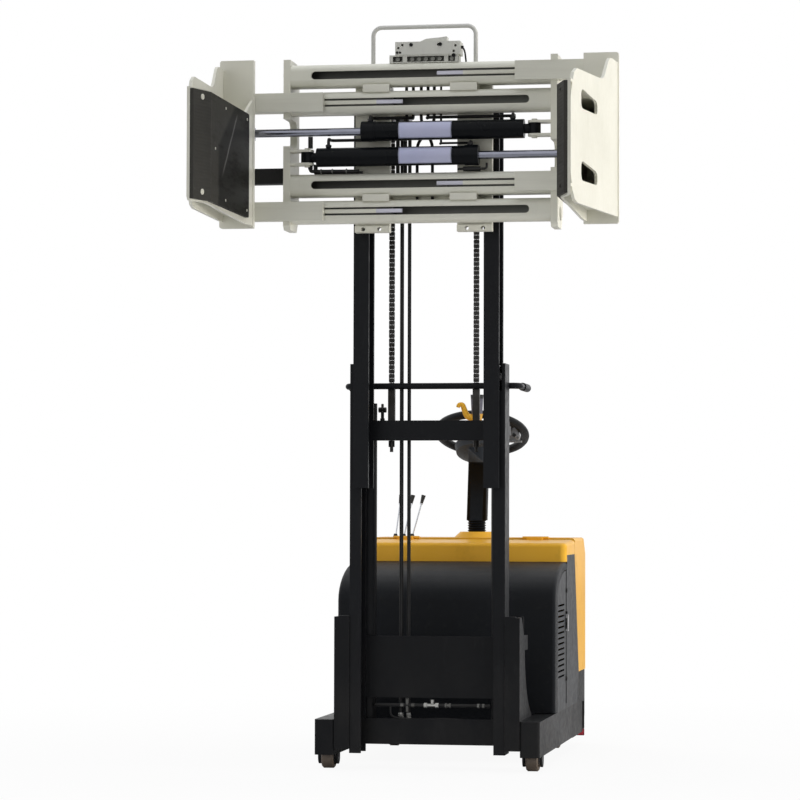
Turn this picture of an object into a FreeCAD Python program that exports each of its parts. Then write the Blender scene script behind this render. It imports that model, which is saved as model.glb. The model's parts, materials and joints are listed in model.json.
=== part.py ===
import FreeCAD, Part
import math
import os

# Stand-on stacker truck with a bale clamp on a raised two-stage mast.
# Millimetres. X to the truck's right as seen from the front, +Z up, ground at Z = 0.
# While it is drawn, Y = 0 is the front face of the outer mast and +Y runs to the operator's end;
# every sub-part is moved by -MID_Y when it is saved, so the stored origin is on the ground
# under the middle of the overall length.

Vec = FreeCAD.Vector
X_AXIS = Vec(1, 0, 0)
Y_AXIS = Vec(0, 1, 0)
Z_AXIS = Vec(0, 0, 1)

# ---- clearances -------------------------------------------------------------------------------
RUN_GAP = 5.0            # between pieces that pass each other
SLIDE_GAP = 2.5          # clamp bar in its guide
ROLLER_GAP = 0.8         # mast roller between its flanges
PIN_GAP = 0.05           # radial, wheel on axle, rod in gland
PANEL_GAP = 3.0          # between body panels
WELD_GAP = 0.2           # between a plate and the sleeve that passes through it

# ---- truck body -------------------------------------------------------------------------------
BODY_HALF = 400.0
BODY_FRONT = 425.0
BODY_REAR = 1420.0
SKIRT_BOTTOM = 50.0
COVER_TOP = 720.0
COVER_DEPTH = 58.0
COVER_WALL = 5.0
COVER_ROLL_Z = 582.0     # height at which the cover starts to roll back
COVER_EDGE = 14.0        # rounding of the cover's side edges
COVER_LIP = 22.0         # how far the cover reaches under the hood
ROLL_STEPS = 9
PANEL_WALL = 4.0
PANEL_SEAM_Y = 1041.0    # seam between the hood and the cowl
HOOD_FRONT = 770.0
HOOD_RADIUS = 24.0       # front corners of the hood, seen from above
SEAM_HALF = 3.0
HOOD_FRONT_TOP = 789.0
HOOD_REAR_TOP = 800.0
HOOD_SIDE_BOTTOM = 745.0
HOOD_WALL = 4.0
HOOD_EDGE = 14.0
HINGE_R = 6.0
HINGE_PIN_R = 3.0
HINGE_X = 250.0
HINGE_W = 60.0
COWL_TOP = 806.0
COWL_WALL = 6.0
COWL_FOOT_Y = 1183.0
COWL_BACK_BEND = 60.0
COWL_EDGE = 12.0
DOME_R = 88.0            # foot of the cone under the steering post
DOME_TOP_R = 64.0
DOME_H = 22.0
BATTERY_HALF = 300.0
BATTERY_TOP = 630.0
LOUVRES = 14
LOUVRE_LOW = 300.0
LOUVRE_STEP = 20.0
LOUVRE_H = 7.0
LOUVRE_YS = (515.0, 705.0)
LEVER_FEET = (-312.0, -279.0, -246.0)
LEVER_LEANS = (14.0, 25.0, 32.0)
LEVER_Y = 1150.0
LEVER_H = 130.0
LEVER_ROD_R = 2.8
LEVER_KNOB_R = 8.5
LEVER_KNOB_L = 38.0

# ---- straddle legs and base -------------------------------------------------------------------
LEG_INNER = 328.0
LEG_OUTER = 398.0
LEG_FRONT = -8.0
LEG_REAR = 1010.0
LEG_BOTTOM = 53.0
LEG_TOP = 177.0
LEG_WALL = 8.0
SKIRT_WALL = 6.0
SKIRT_OUTER = BODY_HALF - PANEL_WALL
FLOOR_WALL = 8.0
FLOOR_Z = 65.0
BULKHEAD_TOP = 575.0
DECK_Z = 292.0

# ---- wheels -----------------------------------------------------------------------------------
LOAD_WHEEL_R = 41.0
LOAD_WHEEL_W = 44.0
LOAD_WHEEL_X = 363.0
LOAD_WHEEL_Y = 86.0
LOAD_AXLE_R = 10.0
DRIVE_WHEEL_R = 115.0
DRIVE_WHEEL_W = 75.0
DRIVE_Y = 1225.0
DRIVE_AXLE_R = 16.0
DRIVE_COLLAR_R = 90.0
DRIVE_FLANGE_R = 112.0
MOTOR_R = 80.0
MOTOR_H = 190.0
GEARBOX_T = 32.0
CASTER_R = 50.0
CASTER_W = 40.0
CASTER_X = 312.0
CASTER_Y = 1120.0
CASTER_TRAIL = 22.0
CASTER_AXLE_R = 8.0
CASTER_TOP = 150.0
CASTER_PIN_R = 12.0

# ---- outer mast -------------------------------------------------------------------------------
MAST_OUTER_X = 275.0
MAST_DEPTH = 108.0
MAST_FLANGE = 40.0
MAST_FLANGE_T = 14.0
MAST_WEB = 12.0
MAST_FOOT = 60.0
MAST_TOP = 1424.0
TOP_ROLLER_Z = 1376.0
CROSS_T = 10.0
CROSS_LOW = 1156.0
CROSS_HIGH = 1227.0
BEAM_LOW = 86.0
BEAM_HIGH = 176.0
SHIELD_LOW = 250.0       # plate across the columns in front of the hoses
SHIELD_HIGH = 466.0
SHIELD_T = 8.0
SUPPORT_TOP = 541.0
SUPPORT_FRONT_T = 12.0
SUPPORT_LOW = 75.0
GUSSET_T = 12.0
GUSSET_BACK = 311.0
GUSSET_PIN_R = 5.5

# ---- inner mast -------------------------------------------------------------------------------
INNER_OUTER_X = 257.5
INNER_FLANGE = 54.0
INNER_FLANGE_T = 14.0
INNER_WEB = 10.0
INNER_WEB_X = 220.0      # inner face of the web
INNER_FRONT = -35.0
INNER_DEPTH = 115.0
INNER_BOTTOM = 988.0
INNER_TOP = 2376.0
CROSSHEAD_H = 40.0
STAGE_TRAVEL = 900.0
ROLLER_T = 18.0

# ---- lift cylinders ---------------------------------------------------------------------------
LIFT_X = 234.0
LIFT_BARREL_R = 28.5
LIFT_Y = MAST_DEPTH + CROSS_T + LIFT_BARREL_R + 4.5
LIFT_BORE_R = 22.5
LIFT_ROD_R = 14.0
LIFT_FOOT = 100.0
LIFT_BARREL_TOP = 1290.0
LIFT_HEAD = 30.0
LIFT_PISTON_H = 60.0

# ---- chains and hoses -------------------------------------------------------------------------
CHAIN_X = 152.0
CHAIN_W = 20.0
CHAIN_T = 10.0
SHEAVE_Z = 2322.0
SHEAVE_R = 40.0          # radius that the chain lies on
SHEAVE_Y = MAST_DEPTH + 32.0 - SHEAVE_R
SHEAVE_RIM = 5.0
SHEAVE_W = 28.0
ANCHOR_TOP = 1340.0
ANCHOR_BOLT_R = 6.0
ANCHOR_NUT_R = 11.0
HOSE_XS = (-116.0, -89.0)
HOSE_RS = (7.0, 5.5)
HOSE_SHEAVE_X = -102.5
HOSE_SHEAVE_W = 48.0
HOSE_LOW = 150.0

# ---- grab rail --------------------------------------------------------------------------------
RAIL_R = 11.0
RAIL_X = 308.0
RAIL_Z = 1350.0
RAIL_BEND = 28.0
RAIL_REAR = 330.0
RAIL_GRIP_R = 14.5
RAIL_GRIP = 120.0

# ---- carriage and clamp frame -----------------------------------------------------------------
MOUNT_FRONT = -95.0
MOUNT_BACK = -65.0
MOUNT_X_IN = 119.0
MOUNT_X_OUT = 241.0
MOUNT_HIGH = 2466.0
FOOT_H = 22.0
FOOT_OUT = 10.0
BRIDGE_XS = (106.0, 200.0)
BRIDGE_SET = 5.0         # how far the bridges stand back from the guides' front
FOOT_BOLT_R = 7.0
CARRIAGE_ANCHOR_Z = 1990.0
HOSE_END_Z = 2010.0
SIDE_PLATE_IN = 182.0
SIDE_PLATE_T = 14.0
SIDE_PLATE_BACK = 56.0
ROLLER_ZS = (1990.0, 2290.0)
GUIDE_ZS = {"right": (2420.0, 2038.0), "left": (2324.0, 1945.0)}
GUIDE_H = 78.0
GUIDE_FRONT = -183.0
GUIDE_WALL = 10.0
GUIDE_RADIUS = 24.0
SLOT_H = 28.0
SLOT_CLOSED = 368.0
VALVE_BASE_H = 27.0
VALVE_BLOCK_H = 45.0
VALVE_FRONT = -176.0
VALVE_BACK = -104.0
VALVE_BORE_R = 4.5
UNION_R = 7.0
HOOP_R = 7.5
HOOP_X = 181.0
HOOP_TOP = 2597.5        # centre line of the hoop's bar
HOOP_BEND = 30.0
END_PLATE_X = 456.0
END_PLATE_T = 24.0
END_PLATE_LOW = GUIDE_ZS["left"][1] - GUIDE_H / 2 - 23
END_PLATE_HIGH = GUIDE_ZS["right"][0] + GUIDE_H / 2 + 18
END_PLATE_BACK = -25.0
MOUNT_LOW = GUIDE_ZS["left"][1] - GUIDE_H / 2 - 28
NOTCH_DEPTH = 118.0
NOTCH_H = 96.0
HOLE_W = 56.0            # opening in the foot of each end plate
HOLE_H = 48.0
HOLE_BACK = 46.0
NOTCH_RADIUS = 30.0
HOLE_RADIUS = 18.0
STOP_ZS = {"right": 2291.0, "left": 2079.0}
STOP_H = 54.0
STOP_REACH = 640.0

# ---- clamp arms -------------------------------------------------------------------------------
ARM_BACK_FRONT = -235.0
ARM_BACK_T = 25.0
ARM_X_IN = 575.0
ARM_X_OUT = 695.0
ARM_LOW = 1886.0
ARM_HIGH = 2470.0
ARM_TIP = -1013.0
ARM_PLATE = 10.0
ARM_FACE = 565.0         # pad face along the arm
ARM_TIP_FACE = 599.0     # pad face at the tip
FLARE_Y = -912.0
PAD_T = 12.0
PAD_BACK = -345.0
PAD_LOW = 1911.0
PAD_HIGH = 2267.0
PAD_RIM = 6.0
WINDOW_LOWS = (1968.0, 2200.0)
CHEEK_H = 66.0
CHEEK_T = 22.0
CHEEK_END = 335.0
BLOCK_END = 96.0
ARM_TRAVEL_IN = 340.0
ARM_TRAVEL_OUT = 50.0

# ---- clamp cylinders --------------------------------------------------------------------------
CYL_Y = -165.0
CYL_ZS = {"left": 2223.0, "right": 2135.0}     # height of the cylinder that moves each arm
CYL_R = 33.0
CYL_BORE_R = 25.0
CYL_ROD_R = 14.0
CYL_HEAD_X = 205.0       # rod end of the barrel, on the arm's side
CYL_BASE_X = 363.0       # base end of the barrel, on the other side
CYL_PIN_X = 398.0
CYL_GLAND = 34.0
CYL_COLLAR_R = 35.5
CYL_COLLAR = 48.0
CYL_ROD_INNER = 85.0
CYL_PISTON = 30.0
PIN_R = 10.0
LUG_T = 8.0
LUG_R = 20.0
EYE_H = 36.0
EYE_R = 22.0
STEM_R = 17.0
PORT_R = 9.0
ROD_BLOCK_HALF = 22.0    # block that holds the rod on the arm

# ---- operator's end ---------------------------------------------------------------------------
PLATFORM_T = 26.0
PLATFORM_HALF = 290.0
PLATFORM_LEN = 400.0
PLATFORM_Z = 120.0
PLATFORM_HINGE_R = 9.0
PLATFORM_OFF = 20.0
WHEEL_CENTRE = Vec(0, 1330, 1213)
WHEEL_TILT = 24.5
WHEEL_RIM_R = 174.0
WHEEL_GRIP_R = 13.0
WHEEL_SHAFT_R = 12.0
DISH_R = 150.0
DISH_DROP = 60.0         # from the rim's middle plane to the dish's edge
POST_HALF = 38.0
POST_FOOT = Vec(0, 1200, COWL_TOP + DOME_H)
POST_HEAD = Vec(0, 1252, 1092)
BELLOWS_R = 36.0
BELLOWS_H = 48.0
BELLOWS_RIBS = 5
GRIP_X = 12.0
GRIP_Y = 1116.0
GRIP_LOW = 1249.0        # foot of the control grip
GRIP_BASE_H = 34.0
GRIP_H = 74.0
GRIP_R = 25.0
GRIP_STALK_R = 11.0

REAR_MOST = (WHEEL_CENTRE.y + WHEEL_RIM_R * math.cos(math.radians(WHEEL_TILT)) + WHEEL_GRIP_R)
MID_Y = (ARM_TIP + REAR_MOST) / 2


# ---- helpers ----------------------------------------------------------------------------------
def box(x0, x1, y0, y1, z0, z1):
    """Block between two corners, given as low and high on each axis."""
    return Part.makeBox(x1 - x0, y1 - y0, z1 - z0, Vec(x0, y0, z0))


def rod(start, end, radius):
    """Round bar from one point to another."""
    line = end - start
    return Part.makeCylinder(radius, line.Length, start, line)


def prism(points, x0, x1):
    """Plate cut to an outline of (y, z) points and x0..x1 thick."""
    corners = [Vec(x0, y, z) for y, z in points]
    face = Part.Face(Part.makePolygon(corners + corners[:1]))
    return face.extrude(Vec(x1 - x0, 0, 0))


def flat(points, z0, z1):
    """Plate cut to an outline of (x, y) points and z0..z1 thick."""
    corners = [Vec(x, y, z0) for x, y in points]
    face = Part.Face(Part.makePolygon(corners + corners[:1]))
    return face.extrude(Vec(0, 0, z1 - z0))


def fuse(shapes):
    """One solid out of touching shapes."""
    body = shapes[0]
    for other in shapes[1:]:
        body = body.fuse(other)
    return body.removeSplitter()


def cut(body, tools):
    """The body with each tool's space taken out."""
    for tool in tools:
        body = body.cut(tool)
    return body


def mirror(shape):
    """The same shape on the other side of the truck's middle plane."""
    return shape.mirror(Vec(0, 0, 0), X_AXIS)


def both(shape):
    """A shape and its mirror image."""
    return [shape, mirror(shape)]


def round_edges(body, radius, choose):
    """Fillet of the edges whose middle point and direction the rule picks."""
    picked = []
    for edge in body.Edges:
        if edge.Curve.TypeId != "Part::GeomLine":
            continue
        middle = edge.CenterOfMass
        along = edge.tangentAt(edge.FirstParameter)
        if choose(middle, along):
            picked.append(edge)
    return body.makeFillet(radius, picked)


def along_axis(direction, axis):
    """True where two directions lie in one line."""
    return abs(abs(direction.dot(axis)) - 1) < 1e-6


def revolve(points, centre, axis):
    """Ring turned from an outline of (radius, offset along the axis) points."""
    side = Vec(0, 0, 1) if abs(axis.z) < 0.9 else Vec(1, 0, 0)
    side = (side - axis * side.dot(axis)).normalize()
    corners = [centre + side * r + axis * t for r, t in points]
    face = Part.Face(Part.makePolygon(corners + corners[:1]))
    return face.revolve(centre, axis, 360)


def save(name, shapes):
    """Write a sub-part's solids to its own file, moved to the stored origin."""
    solids = []
    for shape in shapes:
        moved = shape.copy()
        moved.translate(Vec(0, -MID_Y, 0))
        solids.extend(moved.Solids)
    Part.makeCompound(solids).exportStep("parts/" + name + ".step")
    print(name, len(solids), "solids,", all(s.isValid() for s in solids))


# ---- chassis ----------------------------------------------------------------------------------
def leg():
    """Straddle leg: a channel open below, closed at its nose, with axle holes."""
    outer = box(LEG_INNER, LEG_OUTER, LEG_FRONT, LEG_REAR, LEG_BOTTOM, LEG_TOP)
    outer = round_edges(outer, 10, lambda m, d: along_axis(d, Z_AXIS) and m.y < 0)
    inner = box(LEG_INNER + LEG_WALL, LEG_OUTER - LEG_WALL, LEG_FRONT + LEG_WALL,
                LEG_REAR + 1, LEG_BOTTOM - 1, LEG_TOP - LEG_WALL)
    return outer.cut(inner)


def axle_boss(x0, x1):
    """Cheek that hangs below the leg wall to carry the load wheel's axle."""
    tab = box(x0, x1, LOAD_WHEEL_Y - 26, LOAD_WHEEL_Y + 26, LOAD_WHEEL_R, LEG_BOTTOM + 20)
    nose = rod(Vec(x0, LOAD_WHEEL_Y, LOAD_WHEEL_R), Vec(x1, LOAD_WHEEL_Y, LOAD_WHEEL_R), 26)
    bore = rod(Vec(x0 - 1, LOAD_WHEEL_Y, LOAD_WHEEL_R),
               Vec(x1 + 1, LOAD_WHEEL_Y, LOAD_WHEEL_R), LOAD_AXLE_R)
    return tab.fuse(nose).cut(bore)


def chassis_frame():
    """Legs, side skirts, floor, bulkhead and the deck over the drive wheel, welded."""
    parts = []
    for side in both(fuse([leg(), axle_boss(LEG_INNER, LEG_INNER + LEG_WALL),
                           axle_boss(LEG_OUTER - LEG_WALL, LEG_OUTER)])):
        parts.append(side)
    skirt = prism([(LEG_REAR, SKIRT_BOTTOM), (BODY_REAR - 60, SKIRT_BOTTOM), (BODY_REAR, 110),
                   (BODY_REAR, DECK_Z), (COWL_FOOT_Y - 20, DECK_Z), (LEG_REAR, LEG_TOP)],
                  SKIRT_OUTER - SKIRT_WALL, SKIRT_OUTER)
    parts.extend(both(skirt))
    parts.append(box(-LEG_INNER, LEG_INNER, BODY_FRONT + COVER_DEPTH, LEG_REAR,
                     FLOOR_Z, FLOOR_Z + FLOOR_WALL))
    parts.append(box(-LEG_INNER, LEG_INNER, BODY_FRONT + COVER_DEPTH,
                     BODY_FRONT + COVER_DEPTH + FLOOR_WALL, FLOOR_Z, LEG_TOP))
    parts.append(box(-LEG_OUTER, LEG_OUTER, BODY_FRONT + COVER_DEPTH,
                     BODY_FRONT + COVER_DEPTH + FLOOR_WALL, LEG_TOP, BULKHEAD_TOP))
    parts.append(box(-LEG_INNER - LEG_WALL, LEG_INNER + LEG_WALL, LEG_REAR - FLOOR_WALL, LEG_REAR,
                     LEG_BOTTOM, DECK_Z))
    deck = box(-SKIRT_OUTER, SKIRT_OUTER, COWL_FOOT_Y - 20, BODY_REAR,
               DECK_Z - FLOOR_WALL, DECK_Z)
    inner = SKIRT_OUTER - SKIRT_WALL
    deck = fuse([deck, box(-inner, inner, LEG_REAR - FLOOR_WALL, COWL_FOOT_Y, DECK_Z - FLOOR_WALL, DECK_Z)])
    deck = deck.cut(Part.makeCylinder(DRIVE_COLLAR_R + RUN_GAP, 60, Vec(0, DRIVE_Y, DECK_Z - 30)))
    parts.append(deck)
    parts.append(box(-inner, inner, BODY_REAR - FLOOR_WALL, BODY_REAR, 110, DECK_Z))
    for side in (-1, 1):
        x = side * CASTER_X
        parts.append(box(x - 45, x + 45, CASTER_Y - 45, CASTER_Y + 45,
                         CASTER_TOP, DECK_Z - FLOOR_WALL))
    frame = fuse(parts)
    for side in (-1, 1):
        bore = Part.makeCylinder(CASTER_PIN_R, 60, Vec(side * CASTER_X, CASTER_Y, CASTER_TOP - 1))
        frame = frame.cut(bore)
    return frame


def mast_support():
    """Right-hand mast support: a front plate to the leg and a curved gusset along it."""
    x0 = MAST_OUTER_X
    front = box(x0, LEG_INNER, LEG_FRONT, LEG_FRONT + SUPPORT_FRONT_T, SUPPORT_LOW, SUPPORT_TOP)
    chamfer = Part.Face(Part.makePolygon([
        Vec(LEG_INNER - 15, LEG_FRONT - 1, SUPPORT_TOP + 1),
        Vec(LEG_INNER + 1, LEG_FRONT - 1, SUPPORT_TOP + 1),
        Vec(LEG_INNER + 1, LEG_FRONT - 1, SUPPORT_TOP - 38),
        Vec(LEG_INNER - 15, LEG_FRONT - 1, SUPPORT_TOP + 1)])).extrude(Vec(0, 20, 0))
    front = front.cut(chamfer)
    low = Vec(LEG_INNER, GUSSET_BACK, LEG_TOP + 11)
    knee = Vec(LEG_INNER, 158, 314)
    waist = Vec(LEG_INNER, 130, 420)
    head_back = MAST_DEPTH + 103
    corners = [low, Vec(LEG_INNER, GUSSET_BACK, SUPPORT_LOW), Vec(LEG_INNER, LEG_FRONT, SUPPORT_LOW),
               Vec(LEG_INNER, LEG_FRONT, SUPPORT_TOP - 4), Vec(LEG_INNER, 48, SUPPORT_TOP - 4),
               Vec(LEG_INNER, 102, 474), Vec(LEG_INNER, head_back, 470),
               Vec(LEG_INNER, head_back, 419), waist]
    edges = [Part.makeLine(a, b) for a, b in zip(corners, corners[1:])]
    edges.append(Part.Arc(waist, knee, low).toShape())
    gusset = Part.Face(Part.Wire(edges)).extrude(Vec(-GUSSET_T, 0, 0))
    web = box(x0, LEG_INNER - GUSSET_T, MAST_DEPTH - 12, MAST_DEPTH, SUPPORT_LOW, waist.z)
    pin = Part.makeCylinder(GUSSET_PIN_R, 66, Vec(LEG_INNER - GUSSET_T / 2, MAST_DEPTH, 472))
    return fuse([front, gusset, web, pin])


def rounded_front(half, y0, y1, z0, z1, radius):
    """Block whose two upright front corners are rounded."""
    block = box(-half, half, y0, y1, z0, z1)
    return round_edges(block, radius, lambda m, d: along_axis(d, Z_AXIS) and m.y < y0 + 1)


def roll_points(inset):
    """Points up the cover's side view, from where it starts to roll back to its flat top."""
    reach = HOOD_FRONT - BODY_FRONT - inset
    rise = COVER_TOP - COVER_ROLL_Z - inset
    points = []
    for i in range(ROLL_STEPS + 1):
        turn = math.radians(90.0 * i / ROLL_STEPS)
        points.append((HOOD_FRONT - reach * math.cos(turn), COVER_ROLL_Z + rise * math.sin(turn)))
    return points


def cover_shape(inset, low, back):
    """Solid form of the front cover, moved in by inset, with its foot and back placed freely."""
    half = BODY_HALF - inset
    low_back = BODY_FRONT + COVER_DEPTH
    outline = [(BODY_FRONT + inset, low)] + roll_points(inset)
    outline += [(back, COVER_TOP - inset), (back, COVER_ROLL_Z - 40), (low_back, COVER_ROLL_Z - 40),
                (low_back, low)]
    return prism(outline, -half, half)


def front_cover():
    """Black cover in front of the battery, rolled back at its top up to the hood."""
    foot = LEG_BOTTOM + 20
    outer = cover_shape(0, foot, HOOD_FRONT + COVER_LIP)
    outer = round_edges(outer, COVER_EDGE, lambda m, d: abs(abs(m.x) - BODY_HALF) < 1
                        and on_cover_front(m))
    core = cover_shape(COVER_WALL, foot - 20, HOOD_FRONT + COVER_LIP + 20)
    sides = both(prism([(BODY_FRONT + COVER_DEPTH, COVER_ROLL_Z - 60)] + panel_roll()
                       + [(HOOD_FRONT + COVER_LIP + 1, COVER_TOP - COVER_DEPTH / 2),
                          (HOOD_FRONT + COVER_LIP + 1, COVER_ROLL_Z - 60)],
                       BODY_HALF - COVER_WALL - 1, BODY_HALF + 1))
    legs = both(box(LEG_INNER - PANEL_GAP, LEG_OUTER + 10, BODY_FRONT - 1,
                    BODY_FRONT + COVER_DEPTH + 1, 0, LEG_TOP + PANEL_GAP))
    return cut(outer, [core] + sides + legs)


def on_cover_front(middle):
    """True for the middle of an edge on the cover's front or rolled top."""
    if middle.y < BODY_FRONT + 1 and middle.z > LEG_TOP:
        return True
    if middle.z <= COVER_ROLL_Z or middle.y > HOOD_FRONT:
        return False
    across = (HOOD_FRONT - middle.y) / (HOOD_FRONT - BODY_FRONT)
    up = (middle.z - COVER_ROLL_Z) / (COVER_TOP - COVER_ROLL_Z)
    return math.hypot(across, up) > 0.97


def panel_roll():
    """The cover's roll, set in to the line where the side panels begin."""
    reach = HOOD_FRONT - BODY_FRONT - COVER_DEPTH
    rise = COVER_TOP - COVER_ROLL_Z - COVER_DEPTH / 2
    points = []
    for i in range(ROLL_STEPS + 1):
        turn = math.radians(90.0 * i / ROLL_STEPS)
        points.append((HOOD_FRONT - reach * math.cos(turn), COVER_ROLL_Z + rise * math.sin(turn)))
    return points


def side_panel():
    """Right side of the battery bay: a louvred front panel and a rear panel, with a seam between."""
    y0 = BODY_FRONT + COVER_DEPTH + FLOOR_WALL
    seam = PANEL_GAP / 2
    front = [(y0, LEG_TOP)]
    front += [(y, z - PANEL_GAP) for y, z in panel_roll() if y0 < y < HOOD_FRONT - seam]
    front += [(HOOD_FRONT - seam, panel_roll()[-1][1] - PANEL_GAP), (HOOD_FRONT - seam, LEG_TOP)]
    front.insert(1, (y0, front[1][1] - 12))
    rear = [(HOOD_FRONT + seam, LEG_TOP), (1130, LEG_TOP), (COWL_FOOT_Y - PANEL_GAP, DECK_Z),
            (PANEL_SEAM_Y + SEAM_HALF - PANEL_GAP, HOOD_SIDE_BOTTOM),
            (HOOD_FRONT + COVER_LIP + PANEL_GAP, HOOD_SIDE_BOTTOM),
            (HOOD_FRONT + COVER_LIP + PANEL_GAP, COVER_TOP - COVER_DEPTH / 2 - PANEL_GAP),
            (HOOD_FRONT + seam, COVER_TOP - COVER_DEPTH / 2 - PANEL_GAP)]
    plates = [prism(front, BODY_HALF - PANEL_WALL, BODY_HALF),
              prism(rear, BODY_HALF - PANEL_WALL, BODY_HALF)]
    slots = []
    for i in range(LOUVRES):
        z = LOUVRE_LOW + i * LOUVRE_STEP
        slots.append(box(SKIRT_OUTER - 1, BODY_HALF + 1, LOUVRE_YS[0], LOUVRE_YS[1], z, z + LOUVRE_H))
    return [cut(plates[0], slots), plates[1]]


def knuckle(x0, x1, leaf_front, leaf_back, leaf_low):
    """Hinge knuckle on the seam between hood and cowl, with its leaf, along x0..x1."""
    barrel = rod(Vec(x0, PANEL_SEAM_Y, COWL_TOP), Vec(x1, PANEL_SEAM_Y, COWL_TOP), HINGE_R)
    leaf = box(x0, x1, leaf_front, leaf_back, leaf_low, COWL_TOP + 3)
    return barrel.fuse(leaf)


def hood_shape(inset, low):
    """Solid form of the hood, moved in by inset on every side but the bottom."""
    y0 = HOOD_FRONT + inset
    y1 = PANEL_SEAM_Y - SEAM_HALF - inset
    plan = rounded_front(BODY_HALF - inset, y0, y1, low, HOOD_REAR_TOP + 10, HOOD_RADIUS - inset)
    side = prism([(y0, low), (y0, HOOD_FRONT_TOP - inset), (y1, HOOD_REAR_TOP - inset), (y1, low)],
                 -BODY_HALF, BODY_HALF)
    return plan.common(side)


def battery_hood():
    """Yellow lid over the battery: a pressed shell with rounded edges and its hinge knuckles."""
    outer = hood_shape(0, COVER_TOP)
    outer = round_edges(outer, HOOD_EDGE,
                        lambda m, d: m.z > HOOD_FRONT_TOP - 1 and m.y < PANEL_SEAM_Y - 10)
    shell = outer.cut(hood_shape(HOOD_WALL, COVER_TOP - 30))
    side_trim = both(box(BODY_HALF - HOOD_RADIUS - 10, BODY_HALF + 10,
                         HOOD_FRONT + COVER_LIP, PANEL_SEAM_Y, COVER_TOP - 20, HOOD_SIDE_BOTTOM))
    shell = cut(shell, side_trim)
    eyes = both(knuckle(HINGE_X - HINGE_W / 2 + 1, HINGE_X + HINGE_W / 2 - 1, PANEL_SEAM_Y - 40,
                        PANEL_SEAM_Y, HOOD_REAR_TOP - HOOD_WALL))
    pin = rod(Vec(-BODY_HALF, PANEL_SEAM_Y, COWL_TOP), Vec(BODY_HALF, PANEL_SEAM_Y, COWL_TOP),
              HINGE_PIN_R + PIN_GAP)
    return fuse([shell] + eyes).cut(pin)


def cowl_shape(inset, front, foot):
    """Solid form of the cowl, moved in by inset; its front and foot are placed freely."""
    back = BODY_REAR - inset
    top = COWL_TOP - inset
    outline = [(front, HOOD_SIDE_BOTTOM), (front, top), (BODY_REAR - COWL_BACK_BEND, top),
               (back, top - COWL_BACK_BEND + inset / 2), (back, foot),
               (COWL_FOOT_Y - (PANEL_SEAM_Y + SEAM_HALF - front), foot)]
    return prism(outline, -BODY_HALF + inset, BODY_HALF - inset)


def rear_cowl():
    """Yellow cowl round the drive unit, with a slanted front edge and a bent back."""
    front = PANEL_SEAM_Y + SEAM_HALF
    outer = cowl_shape(0, front, DECK_Z)
    outer = round_edges(outer, COWL_EDGE,
                        lambda m, d: abs(abs(m.x) - BODY_HALF) < 1
                        and (m.z > COWL_TOP - 1 or (m.y > BODY_REAR - 50 and m.z > DECK_Z + 5)))
    shell = outer.cut(cowl_shape(COWL_WALL, front - 30, DECK_Z - 20))
    dome = Part.makeCone(DOME_R, DOME_TOP_R, DOME_H, Vec(0, POST_FOOT.y, COWL_TOP))
    hinge = [rod(Vec(HINGE_X - HINGE_W / 2 - 20, PANEL_SEAM_Y, COWL_TOP),
                 Vec(HINGE_X + HINGE_W / 2 + 20, PANEL_SEAM_Y, COWL_TOP), HINGE_PIN_R)]
    for x0 in (HINGE_X - HINGE_W / 2 - 20, HINGE_X + HINGE_W / 2):
        hinge.append(knuckle(x0, x0 + 20, PANEL_SEAM_Y, PANEL_SEAM_Y + 40, COWL_TOP - 1))
    bay = rod(Vec(HINGE_X - HINGE_W / 2, PANEL_SEAM_Y, COWL_TOP),
              Vec(HINGE_X + HINGE_W / 2, PANEL_SEAM_Y, COWL_TOP), HINGE_R + 1)
    return fuse([cut(shell, both(bay)), dome] + both(fuse(hinge)))


def battery():
    """Battery, one plain block on the floor plate."""
    low = FLOOR_Z + FLOOR_WALL
    return box(-BATTERY_HALF, BATTERY_HALF, BODY_FRONT + COVER_DEPTH + 30, LEG_REAR - 40,
               low, BATTERY_TOP)


def steering_column():
    """Steering post in ribbed bellows, with the dished head under the wheel."""
    step = BELLOWS_H / BELLOWS_RIBS
    ribs = [(0, 0)]
    for i in range(BELLOWS_RIBS):
        ribs += [(BELLOWS_R - 5, i * step), (BELLOWS_R, (i + 0.5) * step)]
    ribs += [(BELLOWS_R - 5, BELLOWS_H), (0, BELLOWS_H)]
    bellows = revolve(ribs, POST_FOOT, Z_AXIS)
    z0 = POST_FOOT.z + BELLOWS_H - 4
    post = prism([(POST_FOOT.y - 24, z0), (POST_FOOT.y + 36, z0), (POST_HEAD.y + 30, POST_HEAD.z + 10),
                  (POST_HEAD.y - 30, POST_HEAD.z + 10)], -POST_HALF, POST_HALF)
    post = round_edges(post, 9, lambda m, d: abs(d.x) < 0.1 and abs(d.z) > 0.5)
    axis = wheel_axis()
    edge = WHEEL_CENTRE - axis * DISH_DROP
    rim = Part.makeCylinder(DISH_R, 8, edge - axis * 8, axis)
    dish = Part.makeCone(60, DISH_R, 34, edge - axis * 42, axis)
    head = box(-36, 36, POST_HEAD.y - 34, POST_HEAD.y + 44, POST_HEAD.z - 6, POST_HEAD.z + 60)
    shaft = rod(edge - axis * 20, WHEEL_CENTRE - axis * 20, WHEEL_SHAFT_R)
    return fuse([bellows, post, rim, dish, head, shaft])


def wheel_axis():
    """Direction of the steering shaft, up and back to the operator."""
    tilt = math.radians(WHEEL_TILT)
    return Vec(0, math.sin(tilt), math.cos(tilt))


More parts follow.
